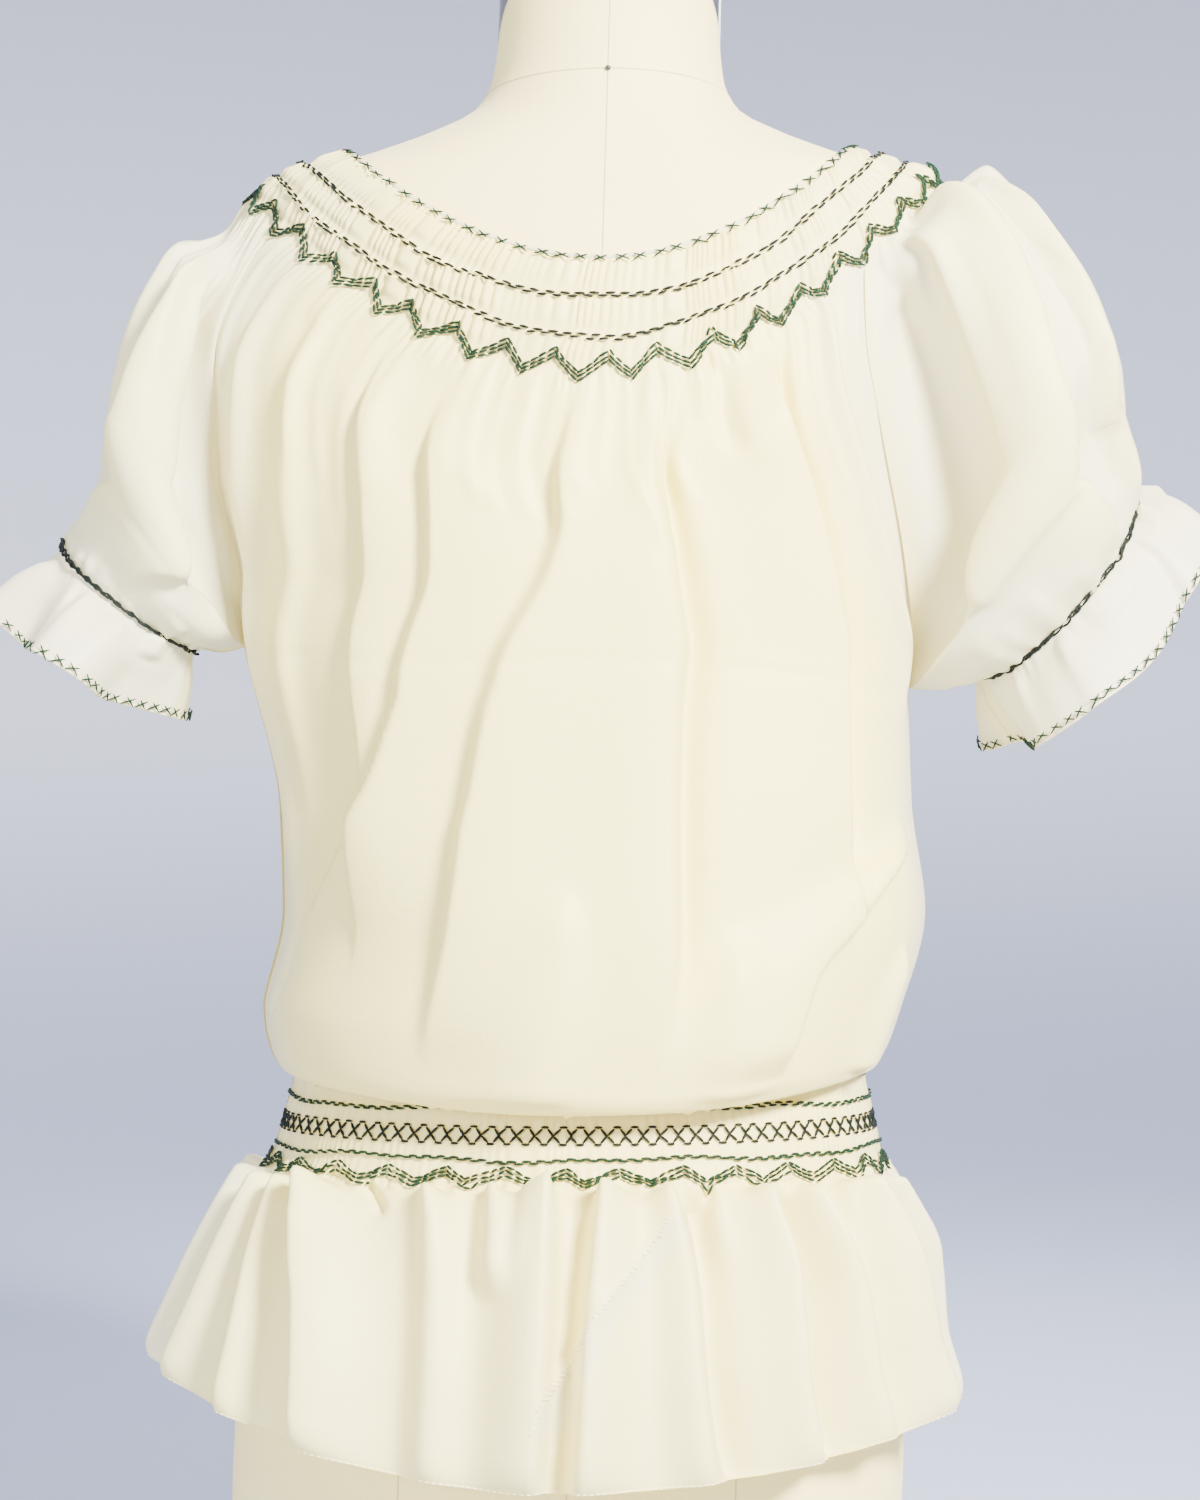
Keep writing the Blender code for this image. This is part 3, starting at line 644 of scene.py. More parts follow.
# %% Sheet builder
class Sheet:
    """The final points of a cut piece, so that anything can be laid on it."""

    def __init__(self, steps, points):
        self.steps, self.points = steps, points
        across = np.gradient(points, axis=1)
        down = np.gradient(points, axis=0)
        normal = np.cross(across, down)
        normal /= np.maximum(np.linalg.norm(normal, axis=2), 1e-9)[:, :, None]
        centre = points.reshape(-1, 3).mean(axis=0)
        self.inward = (normal * (points - centre)).sum() < 0
        self.normal = -normal if self.inward else normal

    def at(self, across, step):
        """The places and normals at arrays of across and step."""
        rows, columns = self.points.shape[:2]
        r = np.clip(np.interp(step, self.steps, np.arange(rows)), 0, rows - 1.001)
        c = np.clip(across * (columns - 1), 0, columns - 1.001)
        i, j = r.astype(int), c.astype(int)
        x, y = (c - j)[:, None], (r - i)[:, None]
        out = []
        for field in (self.points, self.normal):
            top = field[i, j] * (1 - x) + field[i, j + 1] * x
            low = field[i + 1, j] * (1 - x) + field[i + 1, j + 1] * x
            out.append(top * (1 - y) + low * y)
        return out[0], out[1] / np.linalg.norm(out[1], axis=1)[:, None]


def rows_of(sections):
    """The steps of all rows, and whether the strip below each row is a dense one."""
    steps, dense = [], []
    for first, last, count, is_dense in sections:
        steps += list(np.linspace(first, last, count, endpoint=False))
        dense += [is_dense] * count
    return np.array(steps + [sections[-1][1]]), dense


def lay_sheet(name, place, relief, layers_and_painted_light, sections, columns, flat):
    """Builds a cut piece. Returns its object and its Sheet."""
    steps, dense = rows_of(sections)
    fine = 2 * columns
    across, step = (grid.ravel() for grid in np.meshgrid(np.linspace(0, 1, fine + 1), steps))
    shape = (len(steps), fine + 1, 3)
    bare = Sheet(steps, place(across, step).reshape(shape))
    lift = relief(across, step).reshape(shape[:2])[:, :, None]
    sheet = Sheet(steps, bare.points + bare.normal * lift)
    run = np.linalg.norm(np.diff(bare.points[:, columns], axis=0), axis=1)
    down = np.concatenate([[0], np.cumsum(run)])

    bm = bmesh.new()
    count = len(steps) - 1
    bmesh.ops.create_grid(bm, x_segments=columns, y_segments=count, size=0.5)
    packed = set()
    for i, is_dense in enumerate(dense):
        if is_dense:
            packed |= {i, i + 1}
    level = [
        e
        for e in bm.edges
        if abs(e.verts[0].co.y - e.verts[1].co.y) < 1e-6
        and round((e.verts[0].co.y + 0.5) * count) in packed
    ]
    if level:
        bmesh.ops.subdivide_edges(bm, edges=level, cuts=1, use_grid_fill=True)
    made = keep(name, bm, silk)
    mesh = made.data
    flat_co = np.zeros(len(mesh.vertices) * 3, np.float32)
    mesh.vertices.foreach_get("co", flat_co)
    flat_co = flat_co.reshape(-1, 3)
    column = np.rint((flat_co[:, 0] + 0.5) * fine).astype(int)
    row = np.rint((flat_co[:, 1] + 0.5) * count).astype(int)
    mesh.vertices.foreach_set("co", sheet.points[row, column].astype(np.float32).ravel())
    # This attribute marks denser layers and also painted light, and the silk's colour follows it.
    marks = mesh.attributes.new("layers_and_painted_light", "FLOAT", "POINT")
    layers = layers_and_painted_light(across, step).reshape(shape[:2])
    marks.data.foreach_set("value", layers[row, column].astype(np.float32))
    corner = np.zeros(len(mesh.loops), np.int32)
    mesh.loops.foreach_get("vertex_index", corner)
    uv = mesh.uv_layers.new(name="cloth")
    on_cut = np.stack([column / fine * flat[0], down[row]], axis=1)[corner]
    uv.uv.foreach_set("vector", on_cut.astype(np.float32).ravel())
    if sheet.inward:
        mesh.flip_normals()
    mesh.update()
    area = np.linalg.norm(np.cross(np.diff(sheet.points, axis=1)[:-1],
                                   np.diff(sheet.points, axis=0)[:, :-1]), axis=2).sum()
    print(f"{name}: {area:.3f} square metres, {down[-1]:.3f} m down its middle,",
          f"stated as a cut of {flat[0]} x {flat[1]} m")
    return made, sheet

# %% [markdown]
# ## The back and the front
# Body, blouson, waist band and peplum are one length of silk, seamed at the sides only. The
# relief of a piece is the sum of its folds, its pleats and a slight unevenness. The back's peplum
# has an old tear that was drawn together by hand, which left a low slanting ridge. The silk looks
# paler in a strip beside it, as if it were double there. Only that paleness is made, with the
# attribute, and not a second layer.

# %% Relief of the body pieces
PLEAT = 0.0023  # height of the smocking pleats
BODY_LIFT, PEPLUM_LIFT = 1.35, 2.1  # the folds stand this much higher than in their tables
YOKE_ROWS = (0, 1, 2, 3)
BAND_ROWS = (15.05, 15.33, 15.58, 15.82, 16.05)
HEM_BAND = 0.10  # the turned-up hem, as a part of a step
MEND = (((17.2, 0.584), (17.9, 0.543), (18.5, 0.508), (19.4, 0.474)), 0.0050, 0.0040, 0.0024)
MEND_STRIP = 0.020
BODY_SECTIONS = (
    # from step, to step, rows, dense
    (0.0, 3.35, 44, True),
    (3.35, 12.0, 132, False),
    (12.0, 14.6, 14, False),
    (14.6, 16.35, 38, True),
    (16.35, 19.86, 56, False),
    (19.86, 20.0, 4, False),
)


def row_puff(step, rows):
    """1 between stitched rows and less under them."""
    gap = np.min([np.abs(step - row) for row in rows], axis=0)
    return 0.15 + 0.85 * smooth_step(gap / 0.30)


def seam_line(across):
    """A slight ridge along the sewn edges."""
    edge = np.minimum(across, 1 - across)
    return 0.0009 * np.exp(-((edge / 0.005) ** 2))


def body_relief(folds, peplum, count, seed):
    loose = loose_pleats(34, 3.05, 2.6, seed) + loose_pleats(40, 15.9, 2.4, seed + 1)
    tucked = loose_pleats(46, 12.1, 2.4, seed + 2)

    def relief(across, step):
        high = raised(folds, across, step, BODY_LIFT)
        high += raised(peplum, across, step, PEPLUM_LIFT)
        high += raised(loose + tucked, across, step)
        small = pleats(across, count, seed + 3)
        yoke = (1 - smooth_step((step - 3.0) / 0.5)) * row_puff(step, YOKE_ROWS)
        high += PLEAT * small * yoke * (0.35 + 0.65 * smooth_step(step / 0.5))
        band = smooth_step((step - 13.2) / 1.2) * (1 - smooth_step((step - 16.0) / 0.45))
        small = pleats(across, int(count * 1.3), seed + 5)
        high += PLEAT * small * band * row_puff(step, BAND_ROWS)
        free = smooth_step((step - 3.4) / 2) * (1 - smooth_step((step - 12.5) / 1.5))
        skirt = smooth_step((step - 16.3) / 1.5)
        high += 0.0022 * soft_waves(across, step, seed + 7) * (free + skirt)
        high += 0.0006 * smooth_step((step - HEM + HEM_BAND) / 0.02)
        return high + seam_line(across)

    return relief


def body_layers_and_painted_light(across, step):
    """How warm and dense the silk looks: 1 in the hem, less in seams and smocking, and a painted
    warmth before the form that stands for its colour seen through the silk.
    """
    edge = np.minimum(across, 1 - across)
    sewn = 0.5 - 0.5 * smooth_step((edge - 0.012) / 0.004)
    smocked = 0.6 * (1 - smooth_step((step - 3.0) / 0.4))
    smocked += 0.6 * smooth_step((step - 13.8) / 0.8) * (1 - smooth_step((step - 16.1) / 0.3))
    hem = smooth_step((step - HEM + HEM_BAND) / 0.02)
    # Painted light: the form's warm colour, as if seen through the thin silk, is painted wherever the
    # form stands behind.
    painted_form_seen_through = 0.85 * smooth_step((edge - 0.02) / 0.16) * (1 - 0.3 * smooth_step((step - 16.2) / 1.2))
    return np.max([sewn, hem, smocked, painted_form_seen_through], axis=0)


plain_back = body_relief(BACK_FOLDS, BACK_PEPLUM, BACK_PLEATS, SEED)


def back_relief(across, step):
    crease = np.exp(-(((step - 7.02 - 0.04 * np.sin(9 * across)) / 0.05) ** 2))
    return plain_back(across, step) + raised((MEND,), across, step) - 0.0005 * crease


def back_layers_and_painted_light(across, step):
    path = np.array(MEND[0])
    line = on_path(path[:, 0], path[:, 1], step)
    gap = across - line
    along = smooth_step((step - 17.2) / 0.1) * (1 - smooth_step((step - 19.3) / 0.1))
    strip = smooth_step((gap + 0.002) / 0.003) * (1 - smooth_step((gap - MEND_STRIP) / 0.003))
    # The strip takes away part of the painted warmth of the form seen through, so it looks paler.
    return body_layers_and_painted_light(across, step) * (1 - 0.7 * strip * along)


# %% The back and front sheets
BODY_CUT = (0.52, 0.62)  # chosen to agree with the area of the made sheets
TUCK = 0.06  # widens both under the sleeves' edges
back, back_sheet = lay_sheet(
    "back_of_silk", lambda a, s: body_place("back", a, s, TUCK), back_relief, back_layers_and_painted_light,
    BODY_SECTIONS, 256, BODY_CUT,
)
front, front_sheet = lay_sheet(
    "front_of_silk", lambda a, s: body_place("front", a, s, TUCK),
    body_relief(FRONT_FOLDS, FRONT_PEPLUM, FRONT_PLEATS, SEED + 50), body_layers_and_painted_light,
    BODY_SECTIONS, 200, BODY_CUT,
)

# %% [markdown]
# ## The raglan sleeves
# Each sleeve is one piece that starts in the smocked yoke and puffs out over the top of the arm.
# A row of stitches gathers it above the elbow, and the cloth beyond that row is a ruffle.
# The ruffle's edge is longer than the row that gathers it, so it has to wave.

# %% Sleeve sheets
SLEEVE_CUT = (0.40, 0.26)  # chosen in the same way
SLEEVE_LIFT, FLOUNCE_LIFT = 1.5, 2.6
CROWN_DROP = 0.0115  # the ridges stand on the crown, so the cloth between them starts lower
RUFFLE_WAVE, RUFFLE_CRIMP = 0.0105, 0.0012
SLEEVE_SECTIONS = (
    (0.0, 3.35, 40, True),
    (3.35, 8.7, 84, False),
    (8.7, 9.35, 10, True),
    (9.35, 10.9, 30, True),
    (10.9, 11.0, 4, True),
)


def sleeve_relief(side, seed):
    loose = loose_pleats(22, 3.05, 3.4, seed)
    gathered = loose_pleats(26, -9.0, 1.7, seed + 1)
    flounce = loose_pleats(13, CUFF + 0.15, 3.6, seed + 9)

    def relief(across, step):
        high = raised(SLEEVE_FOLDS[side], across, step, SLEEVE_LIFT)
        high += raised(loose, across, step)
        high += raised(gathered, across, -step)
        inside = smooth_step(np.minimum(across, 1 - across) / 0.09)
        high += raised(flounce, across, step, FLOUNCE_LIFT) * inside
        yoke = (1 - smooth_step((step - 3.0) / 0.6)) * row_puff(step, YOKE_ROWS)
        high += PLEAT * pleats(across, SLEEVE_PLEATS, seed + 3) * yoke
        near_cuff = np.exp(-(((step - CUFF) / 0.45) ** 2))
        high += 0.0012 * pleats(across, 44, seed + 5) * near_cuff * row_puff(step, (9.0,))
        out = smooth_step((step - CUFF) / 2)
        turn = math.tau * across
        crown = np.exp(-(((across - 0.5) / 0.22) ** 2)) * smooth_step((step - 3.1) / 1.4)
        high -= CROWN_DROP * crown * (1 - smooth_step((step - 7.6) / 1.3))
        high += RUFFLE_WAVE * np.cos(5 * turn + 2.2 * np.sin(turn + seed)) * out
        crimp = np.cos(13 * turn + 2.0 * np.sin(2 * turn + seed)) * out
        high += RUFFLE_CRIMP * crimp * (1 - 0.6 * out)
        free = smooth_step((step - 3.4) / 2)
        high += 0.0018 * soft_waves(across * 0.7, step, seed + 7) * free
        return high + seam_line(across)

    return relief


def sleeve_layers_and_painted_light(side, across, step):
    """The same for a sleeve, which also gets a painted highlight along its fold ridges."""
    edge = np.minimum(across, 1 - across)
    sewn = 0.4 - 0.4 * smooth_step((edge - 0.012) / 0.004)
    smocked = 0.6 * (1 - smooth_step((step - 3.0) / 0.4))
    hem = 0.6 * smooth_step((step - 10.86) / 0.03)
    # Painted light: fold ridges are painted warmer and brighter than the valleys between them, which
    # read as shaded.
    painted_ridge_light = 0.45 * np.clip(raised(SLEEVE_FOLDS[side], across, step) / 0.010, 0, 1)
    return np.max([sewn, hem, smocked, painted_ridge_light], axis=0)


sleeves = {}
for side in ("left", "right"):
    sleeves[side] = lay_sheet(
        f"{side}_sleeve_of_silk", lambda a, s, side=side: sleeve_place(side, a, s),
        sleeve_relief(side, SEED + (100 if side == "left" else 130)),
        lambda a, s, side=side: sleeve_layers_and_painted_light(side, a, s),
        SLEEVE_SECTIONS, 150, SLEEVE_CUT,
    )

# %% [markdown]
# ## Rows of thread
# All embroidery follows rows that run right round, over the back, a sleeve, the front and the
# other sleeve. A place on a row is a distance along it and a distance above or below it, and it
# is looked up on the finished sheets, so every stitch lies on the pleats as they really are.


# %% Places on a row
def around(step_of, count=1440):
    """A row's turns and the distance along it at each, starting at the +X side."""
    turn = np.linspace(0, math.tau, count + 1)
    places = ring_point(turn, step_of(turn))
    run = np.linalg.norm(np.diff(places, axis=0), axis=1)
    return turn, np.concatenate([[0], np.cumsum(run)])


def on_pieces(turn, step):
    """The places and normals on whichever sheet each turn falls on."""
    turn = np.mod(turn, math.tau)
    edges = {}
    for side in ("left", "right"):
        for face in ("back", "front"):
            edges[side, face] = np.mod(raglan_turn(face, side, step), math.tau)
    place, normal = np.zeros((len(turn), 3)), np.zeros((len(turn), 3))
    right_front, left_front = edges["right", "front"], edges["left", "front"]
    left_back, right_back = edges["left", "back"], edges["right", "back"]
    right_back = np.where(right_back == 0, math.tau, right_back)
    from_back = np.mod(turn - right_back, math.tau)
    whole = np.mod(right_front - right_back, math.tau)
    whole = np.where(whole < 1e-6, 1, whole)
    parts = (
        (front_sheet, (turn >= right_front) & (turn <= left_front),
         (left_front - turn) / (left_front - right_front)),
        (sleeves["left"][1], (turn > left_front) & (turn < left_back),
         (left_back - turn) / np.maximum(left_back - left_front, 1e-6)),
        (back_sheet, (turn >= left_back) & (turn <= right_back),
         (turn - left_back) / (right_back - left_back)),
        (sleeves["right"][1], (turn > right_back) | (turn < right_front), from_back / whole),
    )
    for sheet, here, across in parts:
        if here.any():
            place[here], normal[here] = sheet.at(np.clip(across[here], 0, 1), step[here])
    return place, normal


SAMPLES = 17  # places looked at on both sides of a row, to turn distances into steps


class Row:
    """A row at a step, or at a height on the waist band."""

    def __init__(self, step_of):
        self.step_of = step_of
        self.turn, self.run = around(step_of)
        self.length = self.run[-1]

    def at(self, along, down):
        """Places and normals at distances along the row and below it, in metres."""
        turn = np.interp(np.mod(along, self.length), self.run, self.turn)
        step = self.step_of(turn)
        near = np.clip(step[:, None] + np.linspace(-1, 1, SAMPLES), 0, HEM)
        places = ring_point(np.repeat(turn, SAMPLES), near.ravel()).reshape(-1, SAMPLES, 3)
        run = np.cumsum(np.linalg.norm(np.diff(places, axis=1), axis=2), axis=1)
        run = np.concatenate([0 * run[:, :1], run], axis=1)
        run -= run[:, SAMPLES // 2, None]
        found = [np.interp(d, r, s) for d, r, s in zip(down, run, near)]
        return on_pieces(turn, np.array(found))


def yoke_row(step):
    return Row(lambda turn: np.full(len(turn), float(step)))


def band_row(height):
    """A row of the waist band that stays at a height."""

    def step_of(turn):
        step = np.full(len(turn), 15.5)
        for _ in range(6):
            z = ring_point(turn, step)[:, 2]
            fall = (ring_point(turn, step + 0.05)[:, 2] - z) / 0.05
            step = np.clip(step + (height - z) / np.minimum(fall, -0.01), 15.0, 16.4)
        return step

    return Row(step_of)


# %% [markdown]
# ## Stitches
# The thread is stranded cotton in greens that run from nearly black to leaf. One stitch is a
# short spindle, made with create_uvsphere and stretched between the two holes where the thread
# comes up and goes down. Thousands are joined into one mesh for each shade, so a stitch has only
# thirty triangles.

# %% Thread materials and the stitch maker
THREAD = 0.00072  # radius of the green thread
FINE_THREAD = 0.00048
RUNNING_STITCH = 0.0043  # from one stitch of the zigzags to the next
LINE_GAP = 0.0021  # between the zigzags' three lines


def thread_material(name, dark, light):
    """Mercerised cotton: smooth twisted strands with a soft shine."""
    made, tree, output = blank_material(name)
    place = node(tree, "ShaderNodeTexCoord").outputs["Object"]
    patches = node(tree, "ShaderNodeTexNoise", [("Vector", place), ("Scale", 1 / 0.03)])
    twist = node(
        tree, "ShaderNodeTexWave", [("Vector", place), ("Scale", 1 / 0.0008 / BANDS)],
        bands_direction="DIAGONAL",
    )
    tone = node(tree, "ShaderNodeMix", [(6, linear(dark)), (7, linear(light)),
                                        (0, patches.outputs["Fac"])], data_type="RGBA")
    bump = node(tree, "ShaderNodeBump", [("Height", twist.outputs["Fac"]), ("Strength", 0.5),
                                         ("Distance", 0.0001)])
    shader = node(
        tree, "ShaderNodeBsdfPrincipled",
        [("Base Color", tone.outputs[2]), ("Roughness", 0.6), ("IOR", 1.5),
         ("Specular IOR Level", 0.25), ("Normal", bump.outputs[0])],
    )
    tree.links.new(shader.outputs[0], output.inputs["Surface"])
    return made


dark_thread = thread_material("stranded_cotton_dark_green", "#010302", "#03160D")
green_thread = thread_material("stranded_cotton_leaf_green", "#010C05", "#053319")
cream_thread = thread_material("sewing_cotton_cream", "#EFE2BC", "#FFF6DC")


def stitches(name, ends, radius, material):
    """One mesh of spindles. Ends is a list of (starts, finishes), arrays of places."""
    start = np.concatenate([pair[0] for pair in ends])
    finish = np.concatenate([pair[1] for pair in ends])
    whole = bmesh.new()
    batch = 60
    for first in range(0, len(start), batch):
        part = bmesh.new()
        for a, b in zip(start[first : first + batch], finish[first : first + batch]):
            a, b = Vector(a), Vector(b)
            turned = (b - a).to_track_quat("Z", "Y").to_matrix().to_4x4()
            long = (b - a).length / 2 + radius * 0.6
            shape = Matrix.LocRotScale(None, None, Vector((radius, radius, long)))
            bmesh.ops.create_uvsphere(
                part, u_segments=5, v_segments=4, radius=1,
                matrix=Matrix.Translation((a + b) / 2) @ turned @ shape,
            )
        mesh = bpy.data.meshes.new("part")
        part.to_mesh(mesh)
        part.free()
        whole.from_mesh(mesh)
        bpy.data.meshes.remove(mesh)
    print(len(start), "stitches")
    return keep(name, whole, material)


def sewn(row, along_a, down_a, along_b, down_b, radius, out=1.2):
    """Stitches between two sets of places on a row, raised to lie on the cloth."""
    ends = []
    for along, down in ((along_a, down_a), (along_b, down_b)):
        place, normal = row.at(along, down)
        ends.append(place + normal * radius * out)
    return tuple(ends)


def outline(row, pitch, step_aside, seed, level=0.0, out=1.7):
    """Cable stitch: short dashes that lie by turns a little above and below the line."""
    roll = np.random.default_rng(seed)
    count = int(row.length / pitch)
    along = np.arange(count) * row.length / count + roll.uniform(-0.1, 0.1, count) * pitch
    aside = np.where(np.arange(count) % 2, step_aside, -step_aside)
    aside = aside + level + roll.uniform(-0.3, 0.3, count) * step_aside
    drift = 0.0008 * np.sin(along / 0.021 + seed) + 0.0005 * np.sin(along / 0.0087 + 3 * seed)
    tilt = roll.uniform(-0.25, 0.25, count) * step_aside
    finish = along + pitch * 1.25
    return sewn(row, along, aside + drift - tilt, finish, aside + drift + tilt, THREAD, out)


def zigzag(row, period, high, lines, seed, level=0.0):
    """Rows of running stitch that climb and fall together."""
    roll = np.random.default_rng(seed)
    points = int(row.length / period)
    period = row.length / points
    found = []
    corners = np.arange(2 * points + 1) * period / 2
    corners[1:-1] += roll.uniform(-0.10, 0.10, 2 * points - 1) * period
    heights = np.where(np.arange(2 * points + 1) % 2, -high / 2, high / 2)
    heights = heights + roll.uniform(-0.08, 0.08, 2 * points + 1) * high
    for line in range(lines):
        offset = (line - (lines - 1) / 2) * LINE_GAP + level
        for k in range(2 * points):
            span = corners[k + 1] - corners[k]
            slant = math.hypot(span, heights[k + 1] - heights[k])
            count = max(3, round(slant / RUNNING_STITCH))
            t = (np.arange(count) + roll.uniform(-0.08, 0.08, count)) / count
            end = t + 0.80 / count
            wobble = roll.uniform(-0.0002, 0.0002, count)
            found.append((
                corners[k] + span * t, heights[k] + (heights[k + 1] - heights[k]) * t + offset,
                corners[k] + span * end,
                heights[k] + (heights[k + 1] - heights[k]) * end + offset + wobble,
            ))
    gathered = [np.concatenate(part) for part in zip(*found)]
    return sewn(row, *gathered, THREAD, 2.4)


def trellis(row, pitch, high, seed, level=0.0, out=1.2):
    """Diamonds: two wavy lines that cross, with a short level stitch at each crest."""
    roll = np.random.default_rng(seed)
    count = int(row.length / pitch)
    pitch = row.length / count
    middle_of = np.arange(count) * pitch + roll.uniform(-0.04, 0.04, count) * pitch
    found = []
    for up in (-1, 1):
        crest = np.full(count, up * high / 2 + level)
        inner = np.full(count, up * 0.0004 + level)
        rise = middle_of - pitch * 0.5
        found.append((rise, inner, middle_of - pitch * 0.17, crest * 0.8 + level * 0.2))
        found.append((middle_of - pitch * 0.2, crest, middle_of + pitch * 0.2, crest))
        found.append((middle_of + pitch * 0.17, crest * 0.8 + level * 0.2,
                      middle_of + pitch * 0.5, -inner + 2 * level))
    gathered = [np.concatenate(part) for part in zip(*found)]
    return sewn(row, *gathered, THREAD, out)


def crosses(row, pitch, wide, high, seed, level):
    """Cross stitches over a rolled edge, one arm of each with a longer tail."""
    roll = np.random.default_rng(seed)
    count = int(row.length / pitch)
    at = np.arange(count) * row.length / count + roll.uniform(-0.12, 0.12, count) * pitch
    tail = roll.uniform(1.0, 1.7, count)
    found = [
        (at - wide / 2, level - high / 2 + 0 * at, at + wide / 2 * tail, level + high / 2 + 0 * at),
        (at - wide / 2 * tail, level + high / 2 + 0 * at, at + wide / 2, level - high / 2 + 0 * at),
    ]
    gathered = [np.concatenate(part) for part in zip(*found)]
    return sewn(row, *gathered, FINE_THREAD, 4.2)


# %% Smocking threads
NECK, ROW_1, ROW_2, ZIGZAG = (yoke_row(step) for step in (0.0, 1.0, 2.0, 3.0))
BAND_HEIGHTS = (0.2500, 0.2388, 0.2277, 0.2171, 0.2085)
band_rows = [band_row(height) for height in BAND_HEIGHTS]
yoke_dark = [outline(ROW_1, 0.0033, 0.0007, 1, 0.0030), outline(ROW_2, 0.0032, 0.0007, 2, 0.0026)]
yoke_green = [zigzag(ZIGZAG, 0.0235, 0.0115, 3, 3, 0.0006)]
band_dark = [trellis(band_rows[2], 0.0080, 0.0078, 4)]
band_green = [
    outline(band_rows[0], 0.0031, 0.0004, 5),
    outline(band_rows[1], 0.0031, 0.0005, 6),
    outline(band_rows[3], 0.0033, 0.0004, 7),
    zigzag(band_rows[4], 0.0262, 0.0070, 3, 8),
]
edge_crosses = [crosses(NECK, 0.0088, 0.0056, 0.0036, 9, 0.0010)]
print("round the neck edge:", round(NECK.length, 3), "m")


class CuffRow:
    """A row round one sleeve."""

    def __init__(self, side, step):
        self.sheet, self.step = sleeves[side][1], step
        self.across = np.linspace(0, 1, 401)
        places, _ = self.sheet.at(self.across, np.full(401, step))
        lengths = np.linalg.norm(np.diff(places, axis=0), axis=1)
        self.run = np.concatenate([[0], np.cumsum(lengths)])
        self.length = self.run[-1]
        above, _ = self.sheet.at(self.across, np.full(401, step - 0.3))
        self.rate = np.linalg.norm(places - above, axis=1) / 0.3

    def at(self, along, down):
        along = np.clip(along, 0, self.length)
        across = np.interp(along, self.run, self.across)
        step = self.step + down / np.interp(along, self.run, self.rate)
        return self.sheet.at(across, np.clip(step, 0, RUFFLE))


cuff_dark, ruffle_crosses = [], []
for side in ("left", "right"):
    gathered_row, edge_row = CuffRow(side, CUFF), CuffRow(side, RUFFLE)
    cuff_dark.append(trellis(gathered_row, 0.0062, 0.0036, 10, 0.0, 2.6))
    cuff_dark.append(outline(gathered_row, 0.0036, 0.0009, 11, 0.0, 2.8))
    ruffle_crosses.append(crosses(edge_row, 0.0078, 0.0050, 0.0036, 12, -0.0016))

smocking_dark = stitches("smocking_dark", yoke_dark + band_dark + cuff_dark, THREAD, dark_thread)
smocking_green = stitches("smocking_green", yoke_green + band_green, THREAD, green_thread)
cross_stitches = stitches(
    "cross_stitched_edges", edge_crosses + ruffle_crosses, FINE_THREAD, green_thread
)

# %% [markdown]
# ## Rolled edges and the machined hem
# The neck and the ruffles end in a narrow roll of cloth, under the cross stitches. The peplum
# has a hem turned up once and stitched by machine, and its mend is oversewn with the same thread.
# Each roll is a tube: a grid bent round its path, with its two long sides merged.


# %% Rolls and the hem's stitches
def roll(name, path, radius, closed, material):
    """A tube of cloth along a path of places."""
    sides = 8
    bm = bmesh.new()
    bmesh.ops.create_grid(bm, x_segments=len(path) - 1, y_segments=sides, size=0.5)
    run = np.gradient(path, axis=0)
    run /= np.linalg.norm(run, axis=1)[:, None]
    first = np.cross(run, (0, 0, 1))
    first /= np.linalg.norm(first, axis=1)[:, None]
    second = np.cross(run, first)
    for vert in bm.verts:
        i = round((vert.co.x + 0.5) * (len(path) - 1))
        angle = math.tau * (vert.co.y + 0.5)
        vert.co = Vector(
            path[i] + (first[i] * math.cos(angle) + second[i] * math.sin(angle)) * radius
        )
    bmesh.ops.remove_doubles(bm, verts=bm.verts, dist=radius / 20)
    if not closed:
        bmesh.ops.holes_fill(bm, edges=bm.edges, sides=0)
    bmesh.ops.recalc_face_normals(bm, faces=bm.faces)
    return keep(name, bm, material)


turn = np.linspace(0, math.tau, 721)
neck_path, _ = on_pieces(turn, np.full(721, 0.02))
neck_path[-1] = neck_path[0]
neck_roll = roll("neck_roll", neck_path, 0.0010, True, silk)
ruffle_rolls = []
for side in ("left", "right"):
    across = np.linspace(0, 1, 361)
    path, _ = sleeves[side][1].at(across, np.full(361, RUFFLE - 0.02))
    ruffle_rolls.append(roll(f"{side}_ruffle_roll", path, 0.0008, False, silk))

hem_ends = []
for sheet in (back_sheet, front_sheet):
    across = np.linspace(0.004, 0.996, 200)
    step = np.full(200, HEM - HEM_BAND * 0.95)
    a, normal = sheet.at(across, step)
    b, _ = sheet.at(across + 0.0029, step)
    hem_ends.append((a + normal * 0.00035, b + normal * 0.00035))
step = np.linspace(17.25, 19.3, 46)
line = on_path(np.array(MEND[0])[:, 0], np.array(MEND[0])[:, 1], step)
for aside in (0.0022, -0.0022):
    a, normal = back_sheet.at(line + aside, step)
    b, _ = back_sheet.at(line - aside, step + 0.012)
    hem_ends.append((a + normal * 0.0002, b + normal * 0.0002))
SEWING_THREAD = 0.00028
hem_stitches = stitches("hem_machine_stitches", hem_ends, SEWING_THREAD, cream_thread)

# %% [markdown]
# ## The dress form
# The form is a hollow shell padded with wadding and covered in a natural linen and cotton cloth,
# sewn in panels: one seam down the middle, one down each side of the back, and one round the foot
# of the neck. A metal cap closes the neck. The cover follows the CAD torso ring by ring, with
# finer steps, from create_uvsphere, and its seams are rolls so thin that they read as lines.

# %% Linen cover
LINEN = "#FBEBA2"
LINEN_DARK = "#EFDC90"


